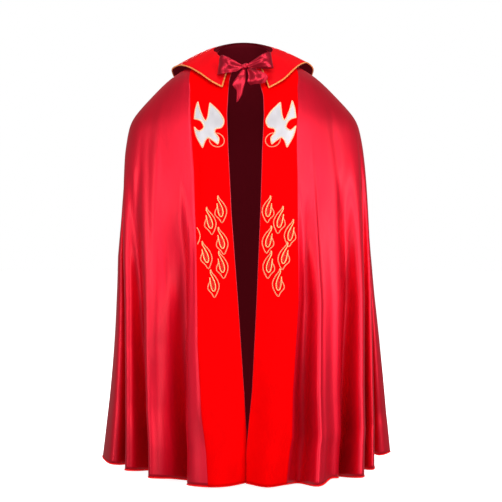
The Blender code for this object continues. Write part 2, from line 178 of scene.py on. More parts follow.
RIGHT_STATIONS = (
    Station("side turn", 1.0, 0.776, 0.4970, 0.086, 0.17, 0.000),
    Station("side shoulder", 1.0, 0.790, 0.4790, 0.044, 0.18, 0.000),
    Station("side ridge", 1.0, 0.800, 0.4520, 0.034, 0.18, 0.000),
    Station("side valley", 1.0, 0.812, 0.4260, 0.080, 0.22, 0.000),
    Station("third turn", 1.0, 0.822, 0.4165, -0.136, 0.26, 0.000),
    Station("third ridge", 1.0, 0.831, 0.3950, -0.158, 0.26, 0.000),
    Station("third valley", 1.0, 0.841, 0.3720, -0.090, 0.22, 0.012),
    Station("second turn", 1.0, 0.855, 0.3710, -0.240, 0.25, 0.000),
    Station("second ridge", 1.0, 0.870, 0.3400, -0.250, 0.25, 0.000),
    Station("second valley", 1.0, 0.898, 0.2960, -0.112, 0.28, 0.028),
    Station("broad fold", 1.0, 0.920, 0.2910, -0.245, 0.31, 0.000),
    Station("margin turn", 1.0, 0.943, 0.2640, -0.285, 0.33, -0.008),
    Station("margin ridge", 1.0, 0.960, 0.2370, -0.325, 0.33, 0.000),
    Station("margin front", 1.0, 0.972, 0.2120, -0.336, 0.33, 0.000),
    Station("margin dip", 1.0, 0.989, 0.1720, -0.215, 0.33, 0.021),
    Station("orphrey seam", 1.0, 1.000, 0.1288, -0.310, 0.30, 0.000),
    Station("orphrey middle", 1.5, 1.000, 0.0700, -0.338, 0.30, 0.000),
    Station("front edge", 2.0, 1.000, 0.0090, -0.293, 0.30, 0.000),
)

COLLAR_STATIONS = (
    CollarStation("left corner", 0.02, -0.0700, -0.151, -0.121),
    CollarStation("left front", 0.09, -0.1030, -0.140, -0.101),
    CollarStation("left chest", 0.15, -0.1410, -0.110, -0.070),
    CollarStation("left turn", 0.21, -0.1810, -0.058, -0.040),
    CollarStation("left side", 0.27, -0.2170, 0.005, -0.023),
    CollarStation("left rear side", 0.33, -0.2440, 0.068, -0.030),
    CollarStation("left back", 0.40, -0.2130, 0.138, -0.070),
    CollarStation("back left", 0.45, -0.1180, 0.170, -0.098),
    CollarStation("back", 0.50, 0.0000, 0.180, -0.108),
    CollarStation("back right", 0.55, 0.1140, 0.168, -0.096),
    CollarStation("right back", 0.60, 0.2050, 0.138, -0.066),
    CollarStation("right rear side", 0.67, 0.2340, 0.080, -0.027),
    CollarStation("right side", 0.73, 0.2120, 0.024, -0.011),
    CollarStation("right turn", 0.79, 0.1870, -0.030, -0.026),
    CollarStation("right chest", 0.85, 0.1600, -0.085, -0.055),
    CollarStation("right front", 0.91, 0.1250, -0.132, -0.095),
    CollarStation("right corner", 0.98, 0.0820, -0.151, -0.123),
)

# Soft folds of the satin, at places counted in stations from the left front edge.
CREASES = (
    Crease(1.85, 0.0, 0.25, 0.06, 0.52, -0.007),
    Crease(2.04, 0.0, 0.32, 0.38, 0.92, 0.008),
    Crease(3.6, 0.0, 0.45, 0.40, 0.90, -0.010),
    Crease(4.2, 0.0, 0.50, 0.50, 1.02, -0.008),
    Crease(5.4, 0.5, 0.45, 0.10, 0.80, 0.005),
    Crease(7.3, 0.6, 0.35, 0.18, 0.60, -0.003),
    Crease(8.2, 0.0, 0.40, 0.40, 1.02, -0.006),
    Crease(42.1, 0.0, 0.50, 0.44, 1.04, -0.010),
    Crease(40.6, 0.1, 0.30, 0.20, 0.95, 0.004),
    Crease(37.9, -0.6, 0.40, 0.12, 0.50, -0.003),
    Crease(36.8, 0.0, 0.40, 0.42, 1.02, -0.006),
    Crease(15.6, 0.3, 0.35, 0.20, 1.00, -0.006),
    Crease(17.5, -0.4, 0.40, 0.14, 0.90, 0.006),
    Crease(19.4, 0.3, 0.35, 0.30, 1.04, -0.008),
    Crease(21.5, -0.3, 0.40, 0.14, 0.80, 0.005),
    Crease(23.4, 0.3, 0.35, 0.24, 1.04, -0.008),
    Crease(25.5, 0.4, 0.40, 0.16, 0.90, 0.006),
    Crease(27.2, -0.3, 0.35, 0.22, 1.00, -0.006),
)

# The front opening: share of the length, and how far its edges lie left and right of the middle.
# Below 0 an edge has passed the middle, and the right one laps the left.
OPENING = (
    (0.00, 0.030, 0.037),
    (0.05, 0.044, 0.051),
    (0.10, 0.049, 0.065),
    (0.15, 0.053, 0.066),
    (0.25, 0.050, 0.058),
    (0.40, 0.042, 0.050),
    (0.60, 0.024, 0.037),
    (0.80, 0.007, 0.022),
    (0.87, 0.002, 0.012),
    (0.93, -0.003, 0.004),
    (1.00, -0.003, 0.003),
)

# Each orphrey's width at shares of the length.
BAND_WIDTHS = {
    Side.LEFT: (
        (0.00, 0.115), (0.05, 0.145), (0.10, 0.125), (0.15, 0.118), (0.30, 0.113),
        (0.50, 0.121), (0.70, 0.143), (0.85, 0.148), (1.00, 0.139),
    ),
    Side.RIGHT: (
        (0.00, 0.115), (0.05, 0.145), (0.10, 0.112), (0.20, 0.107), (0.40, 0.119),
        (0.60, 0.136), (0.80, 0.136), (0.90, 0.149), (1.00, 0.138),
    ),
}

# Each dove's middle: how far from the front edge, and how far down the band.
DOVE_ACROSS = {Side.LEFT: 0.058, Side.RIGHT: 0.055}
DOVE_DOWN = 0.250

# A descending dove's outline: across from its middle towards the opening, up, smooth or a point.
DOVE_ROWS = (
    (0.003, 0.076, 0),
    (0.033, 0.051, 1),
    (0.048, 0.022, 1),
    (0.040, -0.003, 1),
    (0.022, -0.011, 1),
    (0.018, -0.025, 1),
    (0.030, -0.043, 1),
    (0.026, -0.063, 0),
    (0.012, -0.052, 1),
    (-0.003, -0.044, 1),
    (-0.014, -0.056, 1),
    (-0.022, -0.078, 0),
    (-0.041, -0.043, 1),
    (-0.048, -0.013, 0),
    (-0.032, -0.025, 1),
    (-0.016, -0.011, 1),
    (-0.025, 0.010, 1),
    (-0.047, 0.015, 0),
    (-0.043, 0.043, 1),
    (-0.036, 0.072, 0),
    (-0.026, 0.041, 1),
    (-0.012, 0.012, 1),
    (-0.001, 0.032, 1),
)

# The strokes of one flame that is 1 high: across, away from the front edge, and up.
FLAME_OUTLINE = (
    (0.07, 1.00),
    (0.03, 0.88),
    (-0.09, 0.74),
    (-0.19, 0.56),
    (-0.215, 0.38),
    (-0.15, 0.19),
    (-0.02, 0.00),
    (0.08, 0.14),
    (0.21, 0.28),
    (0.20, 0.42),
    (0.13, 0.56),
    (0.12, 0.70),
)
FLAME_TONGUE = (
    (0.08, 0.98),
    (0.085, 0.86),
    (0.02, 0.72),
    (-0.05, 0.56),
    (-0.085, 0.40),
    (-0.055, 0.26),
    (0.01, 0.22),
    (0.07, 0.30),
    (0.10, 0.44),
    (0.11, 0.58),
    (0.125, 0.70),
)
FLAME_HEART = (
    (0.045, 0.66),
    (0.000, 0.52),
    (-0.030, 0.38),
    (0.005, 0.29),
    (0.045, 0.38),
    (0.050, 0.52),
)

# The flames' length, and where each lies on its band.
FLAME_LENGTH = 0.086
LEFT_FLAMES = (
    FlamePlace(0.037, 0.483, 0.006),
    FlamePlace(0.075, 0.520, 0.009),
    FlamePlace(0.042, 0.582, 0.009),
    FlamePlace(0.098, 0.626, 0.011),
    FlamePlace(0.046, 0.656, 0.006),
    FlamePlace(0.078, 0.714, 0.003),
    FlamePlace(0.130, 0.558, 0.008),
)
RIGHT_FLAMES = (
    FlamePlace(0.027, 0.483, 0.005),
    FlamePlace(0.068, 0.517, 0.011),
    FlamePlace(0.103, 0.558, 0.009),
    FlamePlace(0.034, 0.578, 0.010),
    FlamePlace(0.088, 0.629, 0.012),
    FlamePlace(0.037, 0.656, 0.005),
    FlamePlace(0.067, 0.711, 0.000),
)


def ease(share: np.ndarray) -> np.ndarray:
    """A smooth step: 3t^2 - 2t^3 of the share held between 0 and 1."""
    held = np.clip(share, 0.0, 1.0)
    return held * held * (3.0 - 2.0 * held)


def through(rows: np.ndarray, at: np.ndarray) -> np.ndarray:
    """A cubic through the rows, whose slope at each row is half the way between its neighbours.

    Args:
        rows: One row per knot.
        at: Places counted in rows.

    Returns:
        The curve's values at those places.
    """
    rows = np.asarray(rows, float)
    slopes = np.gradient(rows, axis=0)
    first = np.clip(np.floor(at).astype(int), 0, len(rows) - 2)
    f = (at - first)[:, None]
    start, end = rows[first], rows[first + 1]
    rise = f * f * (3.0 - 2.0 * f)
    out, back = slopes[first], slopes[first + 1]
    return start + (end - start) * rise + out * f * (1.0 - f) ** 2 - back * f * f * (1.0 - f)


def unit(vectors: np.ndarray) -> np.ndarray:
    """The vectors divided by their lengths."""
    return vectors / np.maximum(np.linalg.norm(vectors, axis=-1, keepdims=True), TINY)


def grid_normals(grid: np.ndarray) -> np.ndarray:
    """Outer normals of a grid: the way along it crossed with the way down it."""
    return unit(np.cross(np.gradient(grid, axis=1), np.gradient(grid, axis=0)))


def line_lengths(points: np.ndarray) -> np.ndarray:
    """How far along a line each of its points lies: the running sum of its steps."""
    steps = np.linalg.norm(np.diff(points, axis=0), axis=1)
    return np.concatenate([[0.0], np.cumsum(steps)])


def evenly(points: np.ndarray, step: float) -> np.ndarray:
    """A line read again at even steps along its length.

    Args:
        points: The line's points.
        step: The wanted distance between points, in metres.

    Returns:
        Points the same distance apart, from the line's start to its end.
    """
    along = line_lengths(points)
    count = max(2, int(round(along[-1] / step)) + 1)
    at = np.linspace(0.0, along[-1], count)
    return np.stack([np.interp(at, along, points[:, k]) for k in range(points.shape[1])], axis=1)


def bilinear(grid: np.ndarray, row: np.ndarray, column: np.ndarray) -> np.ndarray:
    """A grid's values straight between its points: its four neighbours, each by its nearness.

    Args:
        grid: Values as [row, column, number].
        row: Places counted in rows.
        column: Places counted in columns.

    Returns:
        The values at those places.
    """
    r = np.clip(row.astype(int), 0, grid.shape[0] - 2)
    c = np.clip(column.astype(int), 0, grid.shape[1] - 2)
    down, along = (row - r)[..., None], (column - c)[..., None]
    upper = grid[r, c] * (1.0 - along) + grid[r, c + 1] * along
    lower = grid[r + 1, c] * (1.0 - along) + grid[r + 1, c + 1] * along
    return upper * (1.0 - down) + lower * down


def within(outline: np.ndarray, points: np.ndarray) -> np.ndarray:
    """Which points lie in a closed outline: those with an odd count of its sides to their right.

    Args:
        outline: The outline's corners in order.
        points: The points to test.

    Returns:
        True for each point inside.
    """
    start, end = outline[None], np.roll(outline, -1, axis=0)[None]
    a, b = points[:, None, 0], points[:, None, 1]
    spans = (start[..., 1] > b) != (end[..., 1] > b)
    drop = np.where(spans, end[..., 1] - start[..., 1], 1.0)
    meets = start[..., 0] + (b - start[..., 1]) * (end[..., 0] - start[..., 0]) / drop
    return np.count_nonzero(spans & (meets > a), axis=1) % 2 == 1


class Shader:
    """A small helper that lays out one material's nodes."""

    def __init__(self, name: str) -> None:
        """Starts a material with a Principled shader and the piece's own coordinates.

        Args:
            name: The material's name.
        """
        self.material = bpy.data.materials.new(name)
        self.material.use_nodes = True
        self.nodes = self.material.node_tree.nodes
        self.links = self.material.node_tree.links
        self.principled = self.nodes["Principled BSDF"]
        self.coords = self.nodes.new("ShaderNodeTexCoord")

    def set(self, **values: object) -> None:
        """Sets the shader's own sockets, named with underscores for spaces."""
        for key, value in values.items():
            self.principled.inputs[key.replace("_", " ")].default_value = value

    def node(self, kind: str, inputs: dict | None = None, **settings: object) -> bpy.types.Node:
        """Adds a node.

        Args:
            kind: The node's type.
            inputs: Its input sockets' values.
            settings: Its own properties.

        Returns:
            The new node.
        """
        made = self.nodes.new(kind)
        for key, value in settings.items():
            setattr(made, key, value)
        for key, value in (inputs or {}).items():
            made.inputs[key].default_value = value
        return made

    def scaled(self, scale: tuple[float, float, float]) -> bpy.types.NodeSocket:
        """The piece's UV coordinates multiplied by a scale.

        Args:
            scale: The factor along each axis.

        Returns:
            The scaled coordinates.
        """
        mapping = self.node("ShaderNodeMapping", {"Scale": scale})
        self.links.new(self.coords.outputs["UV"], mapping.inputs["Vector"])
        return mapping.outputs["Vector"]

    def noise(self, scale: tuple[float, float, float], detail: float) -> bpy.types.NodeSocket:
        """A noise texture over scaled UV coordinates.

        Args:
            scale: The factor along each axis.
            detail: How many finer layers are added.

        Returns:
            The noise's value.
        """
        made = self.node("ShaderNodeTexNoise", {"Scale": 1.0, "Detail": detail})
        self.links.new(self.scaled(scale), made.inputs["Vector"])
        return made.outputs["Fac"]

    def wave(self, slant: tuple[float, float, float], way: str, scale: float) -> bpy.types.NodeSocket:
        """Straight bands over scaled UV coordinates, as threads lie.

        Args:
            slant: The factor along each axis.
            way: The axis that the bands lie across, X or Y.
            scale: The wave texture's scale.

        Returns:
            The wave's value.
        """
        made = self.node("ShaderNodeTexWave", {"Scale": scale}, bands_direction=way)
        self.links.new(self.scaled(slant), made.inputs["Vector"])
        return made.outputs["Fac"]

    def between(
        self, factor: bpy.types.NodeSocket, low: tuple, high: tuple, start: float, end: float
    ) -> bpy.types.NodeSocket:
        """A colour that runs from low to high as the factor runs from start to end.

        Args:
            factor: The value that the colour follows.
            low: The colour up to the start.
            high: The colour from the end on.
            start: Where the run starts.
            end: Where it ends.

        Returns:
            The colour.
        """
        ramp = self.node("ShaderNodeValToRGB")
        ramp.color_ramp.elements[0].position = start
        ramp.color_ramp.elements[0].color = low
        ramp.color_ramp.elements[1].position = end
        ramp.color_ramp.elements[1].color = high
        self.links.new(factor, ramp.inputs["Fac"])
        return ramp.outputs["Color"]

    def add(
        self, one: bpy.types.NodeSocket, other: bpy.types.NodeSocket, share: float
    ) -> bpy.types.NodeSocket:
        """One value plus a share of another.

        Args:
            one: The value taken whole.
            other: The value taken in part.
            share: The part.

        Returns:
            The sum.
        """
        made = self.node("ShaderNodeMath", {1: share}, operation="MULTIPLY_ADD")
        self.links.new(other, made.inputs[0])
        self.links.new(one, made.inputs[2])
        return made.outputs[0]

    def grown(self, height: bpy.types.NodeSocket, start: float, end: float) -> bpy.types.NodeSocket:
        """A height times a share that grows from 0 to 1 between two places down the UV map.

        Args:
            height: The full height.
            start: The place where the share is 0.
            end: The place from which it is 1.

        Returns:
            The product.
        """
        place = self.node("ShaderNodeSeparateXYZ")
        self.links.new(self.coords.outputs["UV"], place.inputs[0])
        share = self.node("ShaderNodeMapRange", {"From Min": start, "From Max": end})
        self.links.new(place.outputs["Y"], share.inputs["Value"])
        made = self.node("ShaderNodeMath", operation="MULTIPLY")
        self.links.new(height, made.inputs[0])
        self.links.new(share.outputs["Result"], made.inputs[1])
        return made.outputs[0]

    def bump(
        self,
        height: bpy.types.NodeSocket,
        strength: float,
        distance: float,
        under: bpy.types.NodeSocket | None = None,
    ) -> bpy.types.NodeSocket:
        """Makes the shader's normal follow a height, over a finer one where that is given.

        Args:
            height: The height.
            strength: How strongly it is felt.
            distance: The metres that a height of 1 stands for.
            under: The finer normal, if any.

        Returns:
            The normal.
        """
        made = self.node("ShaderNodeBump", {"Strength": strength, "Distance": distance})
        self.links.new(height, made.inputs["Height"])
        if under is not None:
            self.links.new(under, made.inputs["Normal"])
        self.links.new(made.outputs["Normal"], self.principled.inputs["Normal"])
        return made.outputs["Normal"]

    def colour(self, socket: bpy.types.NodeSocket) -> None:
        """Makes the shader's colour follow a socket."""
        self.links.new(socket, self.principled.inputs["Base Color"])


def tint(colour: tuple[float, float, float], by: float) -> tuple[float, float, float, float]:
    """A colour made lighter or darker by a factor, with full alpha."""
    return (colour[0] * by, colour[1] * by, colour[2] * by, 1.0)


@dataclass(frozen=True)
class SatinFinish:
    """Smooth satin: long floats of thread that give broad soft lights down each fold."""

    name: str
    colour: tuple[float, float, float]
    lustre: float = 0.7
    roughness: float = 0.40
    anisotropy: float = 0.5
    gloss: float = 0.1
    veil: float = 0.2
    veil_roughness: float = 0.38
    veil_tint: tuple = (1.0, 0.85, 0.95, 1.0)
    slub_scale: tuple = (260.0, 14.0, 1.0)
    cloud_scale: tuple = (7.0, 3.0, 1.0)
    slub_share: float = 0.25
    shade: float = 0.86
    light: float = 1.12
    tone_run: tuple = (0.35, 0.85)
    threads: float = 900.0
    weave_slubs: float = 1.5
    weave_strength: float = 0.12
    weave_depth: float = 0.0002
    ripple: float = 0.0
    ripple_scale: tuple = (26.0, 1.4, 1.0)
    ripple_run: tuple = (-0.35, -0.95)

    def make(self) -> bpy.types.Material:
        """Lays out the satin's material on the piece's own UV map.

        Returns:
            The material.
        """
        shader = Shader(self.name)
        shader.set(
            Metallic=self.lustre,
            Roughness=self.roughness,
            Anisotropic=self.anisotropy,
            Specular_IOR_Level=self.gloss,
            Coat_Weight=self.veil,
            Coat_Roughness=self.veil_roughness,
            Coat_Tint=self.veil_tint,
        )
        slubs = shader.noise(self.slub_scale, detail=2.0)
        clouds = shader.noise(self.cloud_scale, detail=3.0)
        mixed = shader.add(clouds, slubs, self.slub_share)
        dark, light = tint(self.colour, self.shade), tint(self.colour, self.light)
        shader.colour(shader.between(mixed, dark, light, *self.tone_run))
        weave = shader.wave(EVEN, "X", self.threads / THREAD_TURN)
        height = shader.add(weave, slubs, self.weave_slubs)
        fine = shader.bump(height, self.weave_strength, self.weave_depth)
        if self.ripple:
            ripples = shader.noise(self.ripple_scale, detail=2.0)
            shader.bump(shader.grown(ripples, *self.ripple_run), 1.0, self.ripple, fine)
        tangent = shader.node("ShaderNodeTangent", direction_type="UV_MAP")
        shader.links.new(tangent.outputs["Tangent"], shader.principled.inputs["Tangent"])
        return shader.material


@dataclass(frozen=True)
class PlainFinish:
    """Matt close-woven cloth, such as the bright red bands and the collar."""

    name: str
    colour: tuple[float, float, float]
    roughness: float = 0.85
    gloss: float = 0.08
    cloud_scale: tuple = (16.0, 9.0, 1.0)
    uneven: float = 0.06
    tone_run: tuple = (0.3, 0.7)
    threads: float = 1400.0
    weave_strength: float = 0.15
    weave_depth: float = 0.0002
    # A glow lights the cloth evenly though it is no lamp: painted light.
    glow: float = 0.0

    def make(self) -> bpy.types.Material:
        """Lays out the cloth's material, with crossed threads on the piece's UV map.

        Returns:
            The material.
        """
        shader = Shader(self.name)
        shader.set(
            Roughness=self.roughness,
            Specular_IOR_Level=self.gloss,
            Emission_Color=tint(self.colour, 1.0),
            Emission_Strength=self.glow,
        )
        clouds = shader.noise(self.cloud_scale, detail=3.0)
        dark, light = tint(self.colour, 1.0 - self.uneven), tint(self.colour, 1.0 + self.uneven)
        shader.colour(shader.between(clouds, dark, light, *self.tone_run))
        warp, weft = (shader.wave(EVEN, way, self.threads / THREAD_TURN) for way in "XY")
        shader.bump(shader.add(warp, weft, 1.0), self.weave_strength, self.weave_depth)
        return shader.material


@dataclass(frozen=True)
class ThreadFinish:
    """Satin stitch or twisted cord: threads laid side by side across a line.

    Its pitch is the length of line in which the threads' wave turns by one radian.
    """

    name: str
    colour: tuple[float, float, float]
    pitch: float = 0.0009
    roughness: float = 0.45
    gloss: float = 0.5
    sheen: float = 0.2
    sheen_roughness: float = 0.4
    slant: tuple = (0.25, 1.0, 1.0)
    shade: float = 0.72
    light: float = 1.1
    tone_run: tuple = (0.1, 0.7)
    stitch_strength: float = 0.5
    stitch_depth: float = 0.0004

    def make(self) -> bpy.types.Material:
        """Lays out the stitches across the line, whose UV map runs along it in metres.

        Returns:
            The material.
        """
        shader = Shader(self.name)
        shader.set(
            Roughness=self.roughness,
            Specular_IOR_Level=self.gloss,
            Sheen_Weight=self.sheen,
            Sheen_Roughness=self.sheen_roughness,
        )
        stitches = shader.wave(self.slant, "Y", 1.0 / self.pitch / WAVE_RATE)
        dark, light = tint(self.colour, self.shade), tint(self.colour, self.light)
        shader.colour(shader.between(stitches, dark, light, *self.tone_run))
        shader.bump(stitches, self.stitch_strength, self.stitch_depth)
        return shader.material


SATIN = SatinFinish(
    "red_satin", (0.76, 0.0030, 0.026), lustre=0.8, roughness=0.46, veil=0.36, ripple=0.0040
)
# The lining is dark maroon and lit by its own glow: painted even dim light that flattens the shade
# inside the cloak. Where the collar takes it, its dark tone is painted shade.
LINING_AND_PAINTED_SHADE = PlainFinish("maroon_lining_painted_shade", (0.052, 0.0015, 0.0038), roughness=0.9, gloss=0.03, glow=0.85)
BAND_RED = PlainFinish("bright_red_cloth", (0.94, 0.0001, 0.0010), roughness=0.7, gloss=0.01)
COLLAR_RED = PlainFinish("collar_red_cloth", (0.86, 0.0010, 0.0060), roughness=0.5, gloss=0.05)
# The hem binding glows though it is no lamp: painted light.
HEM_RED = PlainFinish("hem_binding", (0.85, 0.020, 0.022), roughness=0.7, glow=0.25)
# The front edges are real rolled satin edges, but their pink tone is painted sheen, the light that
# those edges catch.
EDGE_PINK_PAINTED_SHEEN = SatinFinish("front_edge_satin", (0.62, 0.03, 0.05), lustre=0.2, anisotropy=0.0, veil=0.0)
RIBBON = SatinFinish("satin_ribbon", (0.50, 0.006, 0.026), roughness=0.34, veil=0.22)
GOLD_CORD = ThreadFinish("gold_cord", (0.95, 0.29, 0.058), pitch=0.0022, shade=0.85)
CREAM_STITCH = ThreadFinish("cream_stitch", (0.95, 0.62, 0.38))
SALMON_STITCH = ThreadFinish("salmon_stitch", (0.93, 0.30, 0.16))
PEACH_STITCH = ThreadFinish("peach_stitch", (0.93, 0.36, 0.17))
GOLD_STITCH = ThreadFinish("gold_stitch", (0.95, 0.66, 0.26))
BRONZE_STITCH = ThreadFinish("bronze_stitch", (0.60, 0.030, 0.008))
SILVER_CLOTH = PlainFinish(
    "silver_cloth", (0.60, 0.57, 0.60), roughness=0.6, gloss=0.2, threads=700.0, uneven=0.16
)


class Workshop:
    """Makes each finish once, and puts meshes into the scene."""

    def __init__(self) -> None:
        """Starts with no finishes made."""
        self.made: dict[str, bpy.types.Material] = {}
        self.collection = bpy.data.collections.new("cope_looks")
        bpy.context.scene.collection.children.link(self.collection)

    def finish(self, finish: SatinFinish | PlainFinish | ThreadFinish) -> bpy.types.Material:
        """The material of a finish, made on its first use.

        Args:
            finish: The finish.

        Returns:
            Its material.
        """
        if finish.name not in self.made:
            self.made[finish.name] = finish.make()
        return self.made[finish.name]

    def piece(
        self,
        name: str,
        points: np.ndarray,
        faces: list[list[int]],
        uv: np.ndarray,
        finishes: list,
        slots: np.ndarray | None = None,
    ) -> bpy.types.Object:
        """Puts a mesh into the scene as a piece.

        Args:
            name: The piece's name.
            points: Its points.
            faces: Its faces as lists of point numbers.
            uv: A flat place in metres for each point.
            finishes: Its finishes, in slot order.
            slots: The slot of each face, or None where all take the first.

        Returns:
            The new object, smooth and at the origin.
        """
        mesh = bpy.data.meshes.new(name)
        mesh.from_pydata(points.tolist(), [], faces)
        layer = mesh.uv_layers.new(name="flat")
        corners = np.empty(len(mesh.loops), np.int32)
        mesh.loops.foreach_get("vertex_index", corners)
        layer.data.foreach_set("uv", uv[corners].astype(np.float32).ravel())
        for finish in finishes:
            mesh.materials.append(self.finish(finish))
        if slots is not None:
            mesh.polygons.foreach_set("material_index", slots.astype(np.int32))
        mesh.shade_smooth()
        mesh.update()
        made = bpy.data.objects.new(name, mesh)
        self.collection.objects.link(made)
        return made

    def grid_piece(
        self,
        name: str,
        grid: np.ndarray,
        uv: np.ndarray,
        finishes: list,
        slots: np.ndarray | None = None,
        closed: bool = False,
        capped: bool = False,
    ) -> bpy.types.Object:
        """A piece over a grid of points, with faces that look the way its normals do.

        Args:
            name: The piece's name.
            grid: Points as [row, column, xyz].
            uv: Flat places as [row, column, uv].
            finishes: Its finishes, in slot order.
            slots: The slot of each face as [row, column], or None.
            closed: Whether the last column joins the first.
            capped: Whether the first and last rows are filled.

        Returns:
            The new object.
        """
        rows, columns = grid.shape[:2]
        wide = columns if closed else columns - 1
        corner = np.arange(rows - 1)[:, None] * columns + np.arange(wide)[None, :]
        beside = np.arange(rows - 1)[:, None] * columns + (np.arange(wide)[None, :] + 1) % columns
        quads = np.stack([corner, beside, beside + columns, corner + columns], axis=-1)
        faces = quads.reshape(-1, 4).tolist()
        if capped:
            end = (rows - 1) * columns
            faces += [list(range(columns))[::-1], list(range(end, end + columns))]
        flat = None if slots is None else slots.reshape(-1)
        return self.piece(name, grid.reshape(-1, 3), faces, uv.reshape(-1, 2), finishes, flat)

    def strip_along(
        self,
        name: str,
        lines: list[tuple[np.ndarray, np.ndarray]],
        profile: np.ndarray,
        finish: ThreadFinish,
        closed: bool,
    ) -> bpy.types.Object:
        """Stitched lines: a low profile carried along each line on a surface.

        A point is the line's point, plus the profile's sideways reach along the surface, plus its
        height along the surface's normal.

        Args:
            name: The piece's name.
            lines: Points and surface normals of each line.
            profile: Rows of sideways reach and height, round the section.
            finish: The thread.
            closed: Whether each line's end joins its start.

        Returns:
            The new object, with all lines in one mesh.
        """
        points, faces, flats, count = [], [], [], 0
        for line, normals in lines:
            before = np.roll(line, 1, axis=0)
            after = np.roll(line, -1, axis=0)
            if not closed:
                before[0], after[-1] = line[0], line[-1]
            along = unit(after - before)
            aside = unit(np.cross(normals, along))
            section = (
                line[:, None]
                + aside[:, None] * profile[None, :, 0:1]
                + normals[:, None] * profile[None, :, 1:2]
            )
            rows, wide = section.shape[:2]
            r = np.arange(rows if closed else rows - 1)[:, None]
            c = np.arange(wide)[None, :]
            nxt, side = (r + 1) % rows, (c + 1) % wide
            quads = np.stack([r * wide + c, nxt * wide + c, nxt * wide + side, r * wide + side], -1)
            faces += (quads.reshape(-1, 4) + count).tolist()
            if not closed:
                ring, end = list(range(count, count + wide)), (rows - 1) * wide
                faces += [ring, [end + corner for corner in ring[::-1]]]
            points.append(section.reshape(-1, 3))
            run = line_lengths(line)[:, None] * np.ones(wide)
            across = np.ones(rows)[:, None] * profile[None, :, 0]
            flats.append(np.stack([across, run], axis=2).reshape(-1, 2))
            count += rows * wide
        return self.piece(
            name, np.concatenate(points), faces, np.concatenate(flats), [finish]
        )

    @staticmethod
    def wall(piece: bpy.types.Object, thickness: float, side: float, inner: int, rim: int) -> None:
        """Gives a surface its cloth's thickness.

        Args:
            piece: The piece.
            thickness: The wall's thickness.
            side: -1 for inwards, 1 for outwards.
            inner: Slots to add for the other face.
            rim: Slots to add for the edges.
        """
        made = piece.modifiers.new("wall", "SOLIDIFY")
        made.thickness = thickness
        made.offset = side
        made.use_rim = True
        made.material_offset = inner
        made.material_offset_rim = rim


